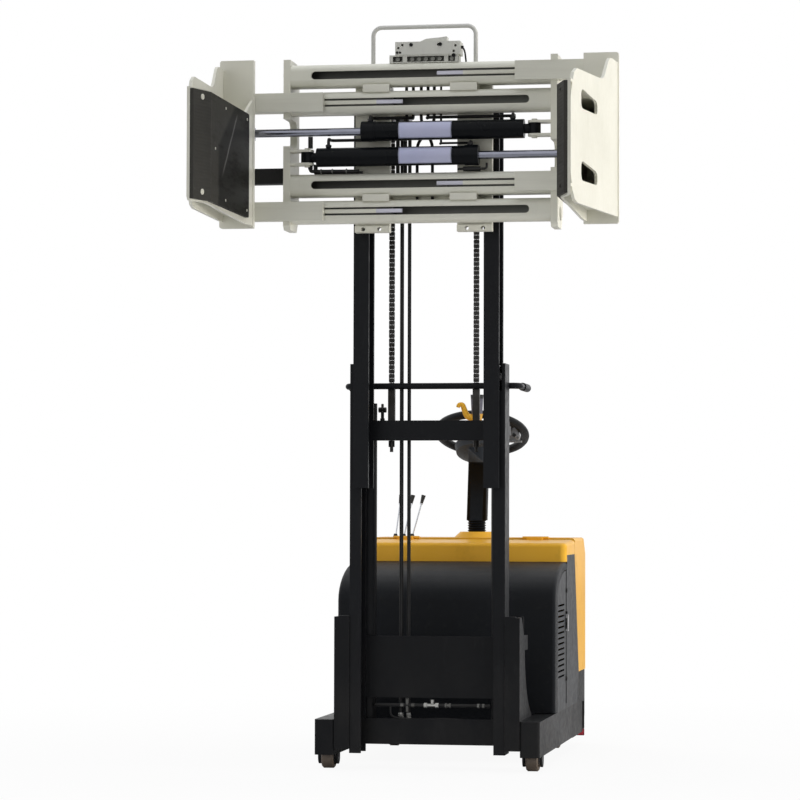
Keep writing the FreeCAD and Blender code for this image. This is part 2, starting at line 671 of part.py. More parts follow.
def steering_wheel():
    """Steering wheel: rim, three spokes and a dished hub."""
    axis = wheel_axis()
    rim = Part.makeTorus(WHEEL_RIM_R, WHEEL_GRIP_R, WHEEL_CENTRE, axis)
    hub = Part.makeCone(46, 34, 40, WHEEL_CENTRE - axis * 50, axis)
    parts = [rim, hub]
    across = X_AXIS
    down = axis.cross(across)
    for turn in (90, 210, 330):
        angle = math.radians(turn)
        out = across * math.cos(angle) + down * math.sin(angle)
        parts.append(rod(WHEEL_CENTRE - axis * 30 + out * 25, WHEEL_CENTRE + out * WHEEL_RIM_R, 8))
    bore = rod(WHEEL_CENTRE - axis * 60, WHEEL_CENTRE - axis * 20, WHEEL_SHAFT_R + PIN_GAP)
    return fuse(parts).cut(bore)


def control_grip():
    """Lift and travel handle in front of the wheel, on its bracket from the dish."""
    x, y = GRIP_X, GRIP_Y
    bracket_top = GRIP_LOW - 27
    handle = Part.makeCone(GRIP_R - 4, GRIP_R, GRIP_H, Vec(x, y, GRIP_LOW + GRIP_BASE_H))
    base = Part.makeCone(GRIP_R - 8, GRIP_R - 2, GRIP_BASE_H, Vec(x, y, GRIP_LOW))
    stalk = rod(Vec(x, y, bracket_top - 7), Vec(x, y, GRIP_LOW), GRIP_STALK_R)
    bracket = box(x - 16, x + 16, y - 14, y + 84, bracket_top - 17, bracket_top)
    column = steering_column()
    nearer = column.copy()
    nearer.translate(Vec(0, -WELD_GAP, 0))
    return cut(fuse([handle, base, stalk, bracket]), [column, nearer])


def control_levers():
    """Three thin hydraulic levers with long knobs, on the cowl."""
    solids = []
    for x, lean in zip(LEVER_FEET, LEVER_LEANS):
        foot = Vec(x, LEVER_Y, COWL_TOP)
        top = Vec(x + lean, LEVER_Y + 22, COWL_TOP + LEVER_H)
        along = (top - foot).normalize()
        boot = Part.makeCone(10, 6, 14, foot)
        stem = rod(foot + Vec(1, 2, 8), top, LEVER_ROD_R)
        knob = Part.makeCone(5, LEVER_KNOB_R, LEVER_KNOB_L, top - along * 4, along)
        solids.append(fuse([boot, stem, knob]))
    return solids


def grab_rail():
    """Tube across the mast's back whose ends turn rearward."""
    y = MAST_DEPTH + RAIL_R
    bend = RAIL_BEND
    path = []
    left_in = Vec(-RAIL_X + bend, y, RAIL_Z)
    right_in = Vec(RAIL_X - bend, y, RAIL_Z)
    turn = bend * (1 - math.cos(math.radians(45)))
    path.append(Part.makeLine(Vec(-RAIL_X, RAIL_REAR, RAIL_Z), Vec(-RAIL_X, y + bend, RAIL_Z)))
    path.append(Part.Arc(Vec(-RAIL_X, y + bend, RAIL_Z), Vec(-RAIL_X + turn, y + turn, RAIL_Z),
                         left_in).toShape())
    path.append(Part.makeLine(left_in, right_in))
    path.append(Part.Arc(right_in, Vec(RAIL_X - turn, y + turn, RAIL_Z),
                         Vec(RAIL_X, y + bend, RAIL_Z)).toShape())
    path.append(Part.makeLine(Vec(RAIL_X, y + bend, RAIL_Z), Vec(RAIL_X, RAIL_REAR, RAIL_Z)))
    wire = Part.Wire(path)
    start = Part.makeCircle(RAIL_R, Vec(-RAIL_X, RAIL_REAR, RAIL_Z), Vec(0, -1, 0))
    tube = wire.makePipeShell([Part.Wire([start])], True, False)
    grips = both(rod(Vec(RAIL_X, RAIL_REAR - RAIL_GRIP, RAIL_Z), Vec(RAIL_X, RAIL_REAR + 8, RAIL_Z),
                     RAIL_GRIP_R))
    return fuse([tube] + grips)


def outer_mast():
    """Two channel columns with a foot beam, a cross plate and the shelf for the cylinders."""
    column = box(MAST_OUTER_X - MAST_WEB, MAST_OUTER_X, 0, MAST_DEPTH, MAST_FOOT, MAST_TOP)
    flange_in = MAST_OUTER_X - MAST_FLANGE
    web_in = MAST_OUTER_X - MAST_WEB
    for y in (0, MAST_DEPTH - MAST_FLANGE_T):
        column = column.fuse(box(flange_in, web_in, y, y + MAST_FLANGE_T, MAST_FOOT, MAST_TOP))
    column = column.cut(box(flange_in - 1, web_in, -1, MAST_DEPTH - MAST_FLANGE_T,
                            TOP_ROLLER_Z - 48, MAST_TOP + 1))
    parts = both(column)
    y = MAST_DEPTH
    parts.append(box(-flange_in, flange_in, y - MAST_FLANGE_T, y + CROSS_T, BEAM_LOW, BEAM_HIGH))
    parts.append(box(-web_in, web_in, y, y + SHIELD_T, SHIELD_LOW, SHIELD_HIGH))
    parts.append(box(-MAST_OUTER_X, MAST_OUTER_X, y, y + CROSS_T, CROSS_LOW + 6, CROSS_HIGH - 4))
    shelf_back = LIFT_Y + LIFT_BARREL_R + 6
    parts.append(box(-MAST_OUTER_X, MAST_OUTER_X, y - MAST_FLANGE_T, shelf_back,
                     BEAM_LOW, LIFT_FOOT))
    for x in (170.0, LIFT_X - LIFT_BARREL_R - 11.5):
        rib = prism([(y, LIFT_FOOT), (shelf_back - 10, LIFT_FOOT), (y, BEAM_HIGH)], x, x + 10)
        parts.extend(both(rib))
    clamp = box(LIFT_X - LIFT_BARREL_R - 8, LIFT_X + LIFT_BARREL_R + 8, y + CROSS_T,
                LIFT_Y + LIFT_BARREL_R + 8, 1176, 1208)
    clamp = clamp.cut(Part.makeCylinder(LIFT_BARREL_R, 100, Vec(LIFT_X, LIFT_Y, 1150)))
    parts.extend(both(clamp))
    return fuse(parts)


def roller(x0, x1, y, z, radius, stub_to):
    """Roller with a crowned tread on a short axle that ends at stub_to."""
    low, high = min(x0, x1), max(x0, x1)
    half = (high - low) / 2
    middle = Vec((low + high) / 2, y, z)
    ring = revolve([(0, -half), (radius - 3, -half), (radius, -half + 3), (radius, half - 3),
                    (radius - 3, half), (0, half)], middle, X_AXIS)
    axle = rod(Vec(min(low, stub_to), y, z), Vec(max(high, stub_to), y, z), 14)
    return fuse([ring, axle])


def inner_gap_centre():
    """Middle of the space between the inner mast's flanges."""
    front = INNER_FRONT + INNER_FLANGE_T
    back = INNER_FRONT + INNER_DEPTH - INNER_FLANGE_T
    return (front + back) / 2, (back - front) / 2


def outer_mast_rollers():
    """Rollers at the head of the outer mast that run in the inner mast's outer recess."""
    y, half = inner_gap_centre()
    return both(roller(INNER_OUTER_X - 2 - ROLLER_T, INNER_OUTER_X - 2, y, TOP_ROLLER_Z,
                       half - ROLLER_GAP, MAST_OUTER_X - MAST_WEB))


def inner_mast_rollers():
    """Rollers at the foot of the inner mast that run in the outer mast's channel."""
    front = MAST_FLANGE_T
    back = MAST_DEPTH - MAST_FLANGE_T
    x = MAST_OUTER_X - MAST_FLANGE + 2
    return both(roller(x, x + ROLLER_T, (front + back) / 2, INNER_BOTTOM + 46,
                       (back - front) / 2 - ROLLER_GAP, INNER_WEB_X + INNER_WEB))


def inner_mast():
    """Two I columns with a foot beam and a slotted crosshead over the sheaves."""
    x0 = INNER_OUTER_X - INNER_FLANGE
    back = INNER_FRONT + INNER_DEPTH
    column = box(INNER_WEB_X, INNER_WEB_X + INNER_WEB, INNER_FRONT, back, INNER_BOTTOM, INNER_TOP)
    for y in (INNER_FRONT, back - INNER_FLANGE_T):
        column = column.fuse(box(x0, INNER_OUTER_X, y, y + INNER_FLANGE_T, INNER_BOTTOM, INNER_TOP))
    column = column.cut(box(INNER_WEB_X + INNER_WEB, INNER_OUTER_X + 1, back - INNER_FLANGE_T - 1,
                            back + 1, INNER_BOTTOM - 1, INNER_BOTTOM + 94))
    parts = both(column)
    parts.append(box(-x0, x0, back - INNER_FLANGE_T, back, CROSS_LOW, CROSS_HIGH))
    low = INNER_TOP - CROSSHEAD_H
    head = box(-INNER_OUTER_X, INNER_OUTER_X, back - INNER_FLANGE_T, LIFT_Y + 26, low, INNER_TOP)
    slot_half = SHEAVE_R + CHAIN_T + RUN_GAP
    for x, width in sheave_places():
        head = head.cut(box(x - width / 2 - 2, x + width / 2 + 2, SHEAVE_Y - slot_half,
                            SHEAVE_Y + slot_half, low - 1, INNER_TOP + 1))
    parts.append(head)
    for x, width in sheave_places():
        for side in (-1, 1):
            a = x + side * (width / 2 + 2)
            parts.append(box(min(a, a + side * 6), max(a, a + side * 6), SHEAVE_Y - 22,
                             SHEAVE_Y + 22, SHEAVE_Z - 24, low + 2))
    mast = fuse(parts)
    for x, width in sheave_places():
        mast = mast.cut(rod(Vec(x - width / 2 - 12, SHEAVE_Y, SHEAVE_Z),
                            Vec(x + width / 2 + 12, SHEAVE_Y, SHEAVE_Z), 9))
    return mast


def sheave_places():
    """Middle and width of each sheave at the head of the inner mast."""
    return [(-CHAIN_X, SHEAVE_W), (CHAIN_X, SHEAVE_W), (HOSE_SHEAVE_X, HOSE_SHEAVE_W)]


def chain_sheaves():
    """Grooved sheaves on their pins."""
    solids = []
    for x, width in sheave_places():
        half = width / 2
        outline = [(0, -half), (SHEAVE_R + SHEAVE_RIM, -half), (SHEAVE_R + SHEAVE_RIM, -half + 2.5),
                   (SHEAVE_R, -half + 4), (SHEAVE_R, half - 4), (SHEAVE_R + SHEAVE_RIM, half - 2.5),
                   (SHEAVE_R + SHEAVE_RIM, half), (0, half)]
        wheel = revolve(outline, Vec(x, SHEAVE_Y, SHEAVE_Z), X_AXIS)
        pin = rod(Vec(x - half - 8, SHEAVE_Y, SHEAVE_Z), Vec(x + half + 8, SHEAVE_Y, SHEAVE_Z), 9)
        solids.append(fuse([wheel, pin]))
    return solids


def half_ring(x, width, inner_r, outer_r):
    """Upper half of a ring round the sheave axis."""
    ring = Part.makeCylinder(outer_r, width, Vec(x - width / 2, SHEAVE_Y, SHEAVE_Z), X_AXIS)
    ring = ring.cut(Part.makeCylinder(inner_r, width, Vec(x - width / 2, SHEAVE_Y, SHEAVE_Z), X_AXIS))
    return ring.common(box(x - width, x + width, SHEAVE_Y - 100, SHEAVE_Y + 100,
                           SHEAVE_Z, SHEAVE_Z + 100))


def chain_turns():
    """Chains and hoses where they lie over the sheaves."""
    gap = 0.3
    solids = [half_ring(side * CHAIN_X, CHAIN_W, SHEAVE_R + gap, SHEAVE_R + CHAIN_T)
              for side in (-1, 1)]
    for x, radius in zip(HOSE_XS, HOSE_RS):
        ring = Part.makeTorus(SHEAVE_R + gap + radius, radius, Vec(x, SHEAVE_Y, SHEAVE_Z), X_AXIS)
        solids.append(ring.common(box(x - 20, x + 20, SHEAVE_Y - 100, SHEAVE_Y + 100,
                                      SHEAVE_Z, SHEAVE_Z + 100)))
    return solids


def chain_strand(y, z0, z1):
    """One straight strand of each chain at depth y."""
    return both(box(CHAIN_X - CHAIN_W / 2, CHAIN_X + CHAIN_W / 2, y - CHAIN_T / 2,
                    y + CHAIN_T / 2, z0, z1))


def hose_strand(side, z0, z1):
    """One straight strand of each hose, in front of (-1) or behind (+1) the sheave."""
    solids = []
    for x, radius in zip(HOSE_XS, HOSE_RS):
        y = SHEAVE_Y + side * (SHEAVE_R + radius)
        solids.append(Part.makeCylinder(radius, z1 - z0, Vec(x, y, z0)))
    return solids


def chain_anchors():
    """Chain anchor bolts and their blocks on the cross plate."""
    solids = []
    y = SHEAVE_Y + SHEAVE_R + CHAIN_T / 2
    for side in (-1, 1):
        x = side * CHAIN_X
        block = box(x - 19, x + 19, MAST_DEPTH + CROSS_T, y + 16, CROSS_HIGH - 30, CROSS_HIGH)
        eye = box(x - 12, x + 12, y - 9, y + 9, CROSS_HIGH, ANCHOR_TOP)
        bolt = Part.makeCylinder(ANCHOR_BOLT_R, 80, Vec(x, y, CROSS_HIGH - 110))
        nut = Part.makeCylinder(ANCHOR_NUT_R, 22, Vec(x, y, CROSS_HIGH - 92))
        solids.append(fuse([block, eye, bolt, nut]))
    return solids


def hose_manifold():
    """Hydraulic manifold on the mast's shelf, where the rear hose strands end."""
    y = SHEAVE_Y + SHEAVE_R + 6
    x_mid = sum(HOSE_XS) / 2
    block = box(x_mid - 34, x_mid + 34, y - 22, y + 22, LIFT_FOOT, HOSE_LOW - 16)
    unions = [Part.makeCylinder(radius + 4, 16, Vec(x, SHEAVE_Y + SHEAVE_R + radius, HOSE_LOW - 16))
              for x, radius in zip(HOSE_XS, HOSE_RS)]
    return fuse([block] + unions)


def lift_barrel():
    """Lift cylinder barrel with its head."""
    height = LIFT_BARREL_TOP - LIFT_FOOT
    body = Part.makeCylinder(LIFT_BARREL_R, height, Vec(LIFT_X, LIFT_Y, LIFT_FOOT))
    bore = Part.makeCylinder(LIFT_BORE_R, height - LIFT_HEAD - 14,
                             Vec(LIFT_X, LIFT_Y, LIFT_FOOT + 14))
    gland = Part.makeCylinder(LIFT_ROD_R + PIN_GAP, height, Vec(LIFT_X, LIFT_Y, LIFT_FOOT + 60))
    return cut(body, [bore, gland])


def lift_rod():
    """Lift cylinder rod from its piston to the crosshead."""
    foot = LIFT_BARREL_TOP - LIFT_HEAD - 20 - LIFT_PISTON_H
    stem = Part.makeCylinder(LIFT_ROD_R, INNER_TOP - CROSSHEAD_H - foot, Vec(LIFT_X, LIFT_Y, foot))
    piston = Part.makeCylinder(LIFT_BORE_R - PIN_GAP, LIFT_PISTON_H, Vec(LIFT_X, LIFT_Y, foot))
    return fuse([stem, piston])


# ---- wheels -----------------------------------------------------------------------------------
def tyre_wheel(centre, radius, width, bore):
    """Solid wheel with rounded shoulders, dished sides and a bore."""
    half = width / 2
    dish = min(6.0, half / 3)
    outline = [(bore, -half), (radius * 0.42, -half), (radius * 0.46, -half + dish),
               (radius * 0.74, -half + dish), (radius * 0.78, -half), (radius - 5, -half),
               (radius, -half + 5), (radius, half - 5), (radius - 5, half), (radius * 0.78, half),
               (radius * 0.74, half - dish), (radius * 0.46, half - dish), (radius * 0.42, half),
               (bore, half)]
    return revolve(outline, centre, X_AXIS)


def load_axle():
    """Axle of the right load wheel, between the leg's walls."""
    return rod(Vec(LEG_INNER, LOAD_WHEEL_Y, LOAD_WHEEL_R),
               Vec(LEG_OUTER, LOAD_WHEEL_Y, LOAD_WHEEL_R), LOAD_AXLE_R)


def drive_unit():
    """Drive knuckle: collar, side gearbox that holds the axle, and the motor on top."""
    collar = Part.makeCylinder(DRIVE_COLLAR_R, 40, Vec(0, DRIVE_Y, 262))
    flange = Part.makeCylinder(DRIVE_FLANGE_R, 10, Vec(0, DRIVE_Y, DECK_Z))
    side = DRIVE_WHEEL_W / 2 + RUN_GAP
    gearbox = prism([(DRIVE_Y - 62, 60), (DRIVE_Y + 62, 60), (DRIVE_Y + 70, 110),
                     (DRIVE_Y + 60, 264), (DRIVE_Y - 60, 264), (DRIVE_Y - 70, 110)],
                    side, side + GEARBOX_T)
    axle = rod(Vec(-DRIVE_WHEEL_W / 2, DRIVE_Y, DRIVE_WHEEL_R),
               Vec(side + 16, DRIVE_Y, DRIVE_WHEEL_R), DRIVE_AXLE_R)
    motor = Part.makeCylinder(MOTOR_R, MOTOR_H, Vec(0, DRIVE_Y, DECK_Z + 10))
    return fuse([collar, flange, gearbox, axle, motor])


def caster_fork(side):
    """Caster fork: top plate with its pivot pin, two legs and the axle."""
    x = side * CASTER_X
    y = CASTER_Y + CASTER_TRAIL
    half = CASTER_W / 2 + 3
    pin = Part.makeCylinder(CASTER_PIN_R - PIN_GAP, 45, Vec(x, CASTER_Y, CASTER_TOP - 22))
    top = box(x - half - 6, x + half + 6, CASTER_Y - 24, CASTER_Y + 40, CASTER_TOP - 24,
              CASTER_TOP - 14)
    parts = [pin, top]
    for s in (-1, 1):
        a = x + s * half
        outline = [(CASTER_Y - 20, CASTER_TOP - 14), (y - 14, 40), (y + 14, 40),
                   (CASTER_Y + 38, CASTER_TOP - 14)]
        parts.append(prism(outline, min(a, a + s * 6), max(a, a + s * 6)))
    parts.append(rod(Vec(x - half - 2, y, CASTER_R), Vec(x + half + 2, y, CASTER_R), CASTER_AXLE_R))
    return fuse(parts)


# ---- operator's platform ----------------------------------------------------------------------
def platform_hinge():
    """Hinge pin and its ears on the back of the chassis."""
    y = BODY_REAR + PLATFORM_OFF
    parts = [rod(Vec(-PLATFORM_HALF - 20, y, PLATFORM_Z), Vec(PLATFORM_HALF + 20, y, PLATFORM_Z),
                 PLATFORM_HINGE_R)]
    for x in (-PLATFORM_HALF - 20, PLATFORM_HALF + 6):
        parts.append(box(x, x + 14, BODY_REAR, y, PLATFORM_Z - 14, PLATFORM_Z + 14))
    return fuse(parts)


def rear_platform():
    """Standing platform, folded up against the back."""
    y = BODY_REAR + PLATFORM_OFF
    half = PLATFORM_HALF
    sleeve = rod(Vec(-half, y, PLATFORM_Z), Vec(half, y, PLATFORM_Z), PLATFORM_HINGE_R + 5)
    tray = box(-half, half, y + PLATFORM_HINGE_R, y + PLATFORM_HINGE_R + PLATFORM_T,
               PLATFORM_Z - 10, PLATFORM_Z + PLATFORM_LEN)
    tray = round_edges(tray, 40, lambda m, d: along_axis(d, Y_AXIS) and m.z > PLATFORM_Z + 100)
    bore = rod(Vec(-half - 1, y, PLATFORM_Z), Vec(half + 1, y, PLATFORM_Z),
               PLATFORM_HINGE_R + PIN_GAP)
    return fuse([sleeve, tray]).cut(bore)


# ---- carriage ---------------------------------------------------------------------------------
def carriage_plates():
    """Mount plates with bolted feet and bridges, side plates for the rollers, and cross bars."""
    plate = box(MOUNT_X_IN, MOUNT_X_OUT, MOUNT_FRONT, MOUNT_BACK, MOUNT_LOW, MOUNT_HIGH)
    foot = box(MOUNT_X_IN, MOUNT_X_OUT, MOUNT_FRONT - FOOT_OUT, MOUNT_FRONT, MOUNT_LOW,
               MOUNT_LOW + FOOT_H)
    holes = [Part.makeCylinder(FOOT_BOLT_R, 60, Vec(x, MOUNT_FRONT - 30, MOUNT_LOW + FOOT_H / 2), Y_AXIS)
             for x in (MOUNT_X_IN + 35, MOUNT_X_OUT - 30)]
    bridges = []
    for upper, lower in zip(GUIDE_ZS["right"], GUIDE_ZS["left"]):
        bridges.append(box(BRIDGE_XS[0], BRIDGE_XS[1], GUIDE_FRONT + BRIDGE_SET, MOUNT_FRONT,
                           lower + GUIDE_H / 2, upper - GUIDE_H / 2))
    plate = cut(fuse([plate, foot] + bridges), holes)
    side = prism([(MOUNT_BACK, 1935), (20, 1935), (SIDE_PLATE_BACK, 1965), (SIDE_PLATE_BACK, 2320),
                  (20, 2350), (MOUNT_BACK, 2350)], SIDE_PLATE_IN, SIDE_PLATE_IN + SIDE_PLATE_T)
    parts = both(fuse([plate, side]))
    for z in (1960, 2290):
        parts.append(box(-SIDE_PLATE_IN, SIDE_PLATE_IN, MOUNT_BACK, MOUNT_BACK + 18, z, z + 50))
    y = SHEAVE_Y - SHEAVE_R - CHAIN_T / 2
    for side in (-1, 1):
        x = side * CHAIN_X
        parts.append(box(x - 15, x + 15, MOUNT_BACK + 18, y + 9, 1960, CARRIAGE_ANCHOR_Z))
    x_mid = sum(HOSE_XS) / 2
    parts.append(box(x_mid - 26, x_mid + 26, MOUNT_BACK + 18, y + 8, 1990, HOSE_END_Z))
    return fuse(parts)


def carriage_rollers():
    """Four rollers that run in the inner mast's inner recess."""
    y, half = inner_gap_centre()
    solids = []
    for z in ROLLER_ZS:
        solids.extend(both(roller(INNER_WEB_X - 2 - 14, INNER_WEB_X - 2, y, z, half - ROLLER_GAP,
                                  SIDE_PLATE_IN + SIDE_PLATE_T)))
    return solids


def rounded_bar(x0, x1, z, y0, y1, height, radius):
    """Bar along X with rounded long edges."""
    bar = box(x0, x1, y0, y1, z - height / 2, z + height / 2)
    return round_edges(bar, radius, lambda m, d: along_axis(d, X_AXIS))


def guide_blank(z, grow=0.0):
    """Outside of a guide sleeve of the right arm, made larger all round by grow."""
    return rounded_bar(-END_PLATE_X, END_PLATE_X + END_PLATE_T + grow, z, GUIDE_FRONT - grow,
                       MOUNT_FRONT + grow, GUIDE_H + 2 * grow, GUIDE_RADIUS + grow)


def guide(arm, z):
    """Guide sleeve: hollow, with a long slot in front, open on the arm's side."""
    bar = guide_blank(z)
    hollow = box(-END_PLATE_X + 14, END_PLATE_X + END_PLATE_T + 1, GUIDE_FRONT + GUIDE_WALL,
                 MOUNT_FRONT - GUIDE_WALL, z - GUIDE_H / 2 + GUIDE_WALL, z + GUIDE_H / 2 - GUIDE_WALL)
    slot = box(-SLOT_CLOSED, END_PLATE_X + END_PLATE_T + 1, GUIDE_FRONT - 1,
               GUIDE_FRONT + GUIDE_WALL + 1, z - SLOT_H / 2, z + SLOT_H / 2)
    slot_end = Part.makeCylinder(SLOT_H / 2, GUIDE_WALL + 2, Vec(-SLOT_CLOSED, GUIDE_FRONT - 1, z),
                                 Y_AXIS)
    bar = cut(bar, [hollow, slot, slot_end])
    return bar if arm == "right" else mirror(bar)


def clamp_guides():
    """Four guide sleeves, two for each arm."""
    return [guide(arm, z) for arm, heights in GUIDE_ZS.items() for z in heights]


def end_plate(arm):
    """End plate on one side, notched for that arm's cylinder rod."""
    x0, x1 = END_PLATE_X, END_PLATE_X + END_PLATE_T
    front, back = GUIDE_FRONT, END_PLATE_BACK
    low, high = END_PLATE_LOW, END_PLATE_HIGH
    plate = prism([(front, low + 16), (front + 16, low), (back - 40, low), (back, low + 60),
                   (back, high - 60), (back - 40, high), (front, high)], x0, x1)
    z = CYL_ZS[arm]
    notch = box(x0 - 1, x1 + 1, front - 1, front + NOTCH_DEPTH, z - NOTCH_H / 2, z + NOTCH_H / 2)
    notch = round_edges(notch, NOTCH_RADIUS, lambda m, d: along_axis(d, X_AXIS) and m.y > front)
    plate = plate.cut(notch)
    hole = box(x0 - 1, x1 + 1, back - HOLE_BACK - HOLE_W, back - HOLE_BACK, low + 28, low + 28 + HOLE_H)
    hole = round_edges(hole, HOLE_RADIUS, lambda m, d: along_axis(d, X_AXIS))
    plate = plate.cut(hole)
    for height in GUIDE_ZS[arm]:
        plate = plate.cut(guide_blank(height, WELD_GAP))
    other = "left" if arm == "right" else "right"
    z = CYL_ZS[other]
    lugs = []
    for s in (-1, 1):
        a = z + s * (EYE_H / 2 + 1)
        lug = box(CYL_PIN_X - 22, x0, CYL_Y - 24, CYL_Y + 30, min(a, a + s * LUG_T), max(a, a + s * LUG_T))
        lug = round_edges(lug, LUG_R, lambda m, d: along_axis(d, Z_AXIS) and m.x < CYL_PIN_X)
        lugs.append(lug)
    reach = EYE_H / 2 + 1 + LUG_T + 6
    pin = rod(Vec(CYL_PIN_X, CYL_Y, z - reach), Vec(CYL_PIN_X, CYL_Y, z + reach), PIN_R)
    plate = fuse([plate] + lugs + [pin])
    return plate if arm == "right" else mirror(plate)


def stop_bar(arm):
    """Black stop bar that stands out from the end plate behind the arm."""
    z = STOP_ZS[arm]
    bar = box(END_PLATE_X + END_PLATE_T, STOP_REACH, MOUNT_FRONT - 17, MOUNT_FRONT + 33,
              z - STOP_H / 2, z + STOP_H / 2)
    return bar if arm == "right" else mirror(bar)


def clamp_cylinder(arm):
    """Barrel of the cylinder that moves one arm, with its base eye."""
    z = CYL_ZS[arm]
    y = CYL_Y
    length = CYL_HEAD_X + CYL_BASE_X
    body = Part.makeCylinder(CYL_R, length, Vec(-CYL_BASE_X, y, z), X_AXIS)
    bore = Part.makeCylinder(CYL_BORE_R, length - CYL_GLAND - 20, Vec(-CYL_BASE_X + 20, y, z), X_AXIS)
    gland = Part.makeCylinder(CYL_ROD_R + PIN_GAP, 200, Vec(CYL_HEAD_X - 100, y, z), X_AXIS)
    collar = Part.makeCylinder(CYL_COLLAR_R, CYL_COLLAR, Vec(CYL_HEAD_X - CYL_COLLAR, y, z), X_AXIS)
    collar = collar.cut(gland)
    stem = rod(Vec(-CYL_PIN_X, y, z), Vec(-CYL_BASE_X, y, z), STEM_R)
    eye = Part.makeCylinder(EYE_R, EYE_H, Vec(-CYL_PIN_X, y, z - EYE_H / 2))
    hole = Part.makeCylinder(PIN_R, 80, Vec(-CYL_PIN_X, y, z - 40))
    ports = [Part.makeCylinder(PORT_R, 14, Vec(x, y, z + CYL_R - 3)) for x in (-CYL_BASE_X + 40,
                                                                         CYL_HEAD_X - 30)]
    barrel = cut(fuse([cut(body, [bore, gland]), collar, stem, eye] + ports), [hole, bore])
    return barrel if arm == "right" else mirror(barrel)


def valve_block():
    """Valve block on the upper guide: recessed base, bored block and the ramp on its top."""
    low = GUIDE_ZS["right"][0] + GUIDE_H / 2
    front, back = VALVE_FRONT, VALVE_BACK
    split = low + VALVE_BASE_H
    top = split + VALVE_BLOCK_H
    base = box(-108, 132, front + 6, back, low, split)
    for x0, x1 in ((-96, -62), (-46, 84), (98, 122)):
        base = base.cut(box(x0, x1, front, front + 26, low + 3, split - 5))
    unions = [Part.makeCylinder(UNION_R, 22, Vec(x, front + 8, low + 13), Y_AXIS)
              for x in (-79, -28, -4, 20, 44, 68, 110)]
    block = box(-87, 140, front, back, split, top)
    bores = [Part.makeCylinder(VALVE_BORE_R, 30, Vec(x, front - 1, z), Y_AXIS)
             for x, z in ((-62, top - 11), (64, top - 11), (-70, split + 8), (118, split + 10),
                          (-76, split + 24), (124, top - 16))]
    ramp = Part.Face(Part.makePolygon([Vec(-6, front + 12, top), Vec(92, front + 12, top),
                                       Vec(92, front + 12, top + 18), Vec(70, front + 12, top + 15),
                                       Vec(20, front + 12, top + 11),
                                       Vec(-6, front + 12, top)])).extrude(Vec(0, 44, 0))
    return fuse([base, cut(block, bores), ramp] + unions)


def guard_hoop():
    """Round-bar hoop on top of the mount plates."""
    x = HOOP_X
    y = (MOUNT_FRONT + MOUNT_BACK) / 2
    top = HOOP_TOP
    bend = HOOP_BEND
    turn = bend * (1 - math.cos(math.radians(45)))
    path = [
        Part.makeLine(Vec(-x, y, MOUNT_HIGH), Vec(-x, y, top - bend)),
        Part.Arc(Vec(-x, y, top - bend), Vec(-x + turn, y, top - turn), Vec(-x + bend, y, top)).toShape(),
        Part.makeLine(Vec(-x + bend, y, top), Vec(x - bend, y, top)),
        Part.Arc(Vec(x - bend, y, top), Vec(x - turn, y, top - turn), Vec(x, y, top - bend)).toShape(),
        Part.makeLine(Vec(x, y, top - bend), Vec(x, y, MOUNT_HIGH)),
    ]
    start = Part.makeCircle(HOOP_R, Vec(-x, y, MOUNT_HIGH), Z_AXIS)
    return Part.Wire(path).makePipeShell([Part.Wire([start])], True, False)


# ---- arms (drawn on the right, mirrored for the left) -------------------------------------------
def arm_frame():
    """Arm weldment: back plate, inner plate behind the pad, outer plate with windows, ribs."""
    t = ARM_PLATE
    front = ARM_BACK_FRONT
    back = box(ARM_X_IN, ARM_X_OUT, front, front + ARM_BACK_T, ARM_LOW, ARM_HIGH)
    back = round_edges(back, 8, lambda m, d: along_axis(d, Y_AXIS) and m.x > ARM_X_OUT - 1)
    inner_x = ARM_FACE + PAD_T
    tip_x = ARM_TIP_FACE + PAD_T
    inner_plan = [(inner_x, front), (inner_x, FLARE_Y), (tip_x, ARM_TIP), (tip_x + t, ARM_TIP),
                  (inner_x + t, FLARE_Y), (inner_x + t, front)]
    inner_side = [(front, ARM_LOW + 8), (PAD_BACK, PAD_LOW - 20), (FLARE_Y, PAD_LOW - PAD_RIM),
                  (ARM_TIP + 6, PAD_LOW - PAD_RIM), (ARM_TIP, PAD_LOW + 6), (ARM_TIP, PAD_HIGH - 6),
                  (ARM_TIP + 6, PAD_HIGH + PAD_RIM), (PAD_BACK, PAD_HIGH + PAD_RIM), (front, 2330)]
    inner = flat(inner_plan, ARM_LOW - 20, ARM_HIGH + 20).common(prism(inner_side, 500, 760))
    outer_plan = [(ARM_X_OUT - 3 - t, front), (tip_x, ARM_TIP), (tip_x + t, ARM_TIP),
                  (ARM_X_OUT - 3, front)]
    outer_side = prism([(front, 1908), (-900, 1889), (-948, 1896), (-985, 1922), (ARM_TIP, 1975),
                        (ARM_TIP, 2215), (-990, 2262), (-958, 2300), (-915, 2318), (-540, 2338),
                        (-500, 2343), (-472, 2352), (-448, 2372), (-395, 2418), (-368, 2430),
                        (-330, 2434), (front, 2434)], 500, 760)
    outer = flat(outer_plan, ARM_LOW - 20, ARM_HIGH + 20).common(outer_side)
    for low in WINDOW_LOWS:
        window = prism([(-849, low + 18), (-849, low + 46), (-838, low + 60), (-815, low + 63),
                        (-612, low + 53), (-592, low + 48), (-586, low + 38), (-586, low + 22),
                        (-594, low + 12), (-612, low + 8), (-826, low), (-842, low + 5)], 560, 760)
        outer = outer.cut(window)
    fill_plan = [(inner_x + 2, front), (inner_x + 2, FLARE_Y), (tip_x, ARM_TIP), (tip_x + t, ARM_TIP),
                 (ARM_X_OUT - 3, front)]
    rib_low = flat(fill_plan, 1932, 1932 + t)
    rib_high = flat(fill_plan, PAD_HIGH + PAD_RIM - t, PAD_HIGH + PAD_RIM)
    lip = box(620, 660, -985, -900, 1892, 1910).common(outer_side)
    return fuse([back, inner, outer, rib_low, rib_high, lip])


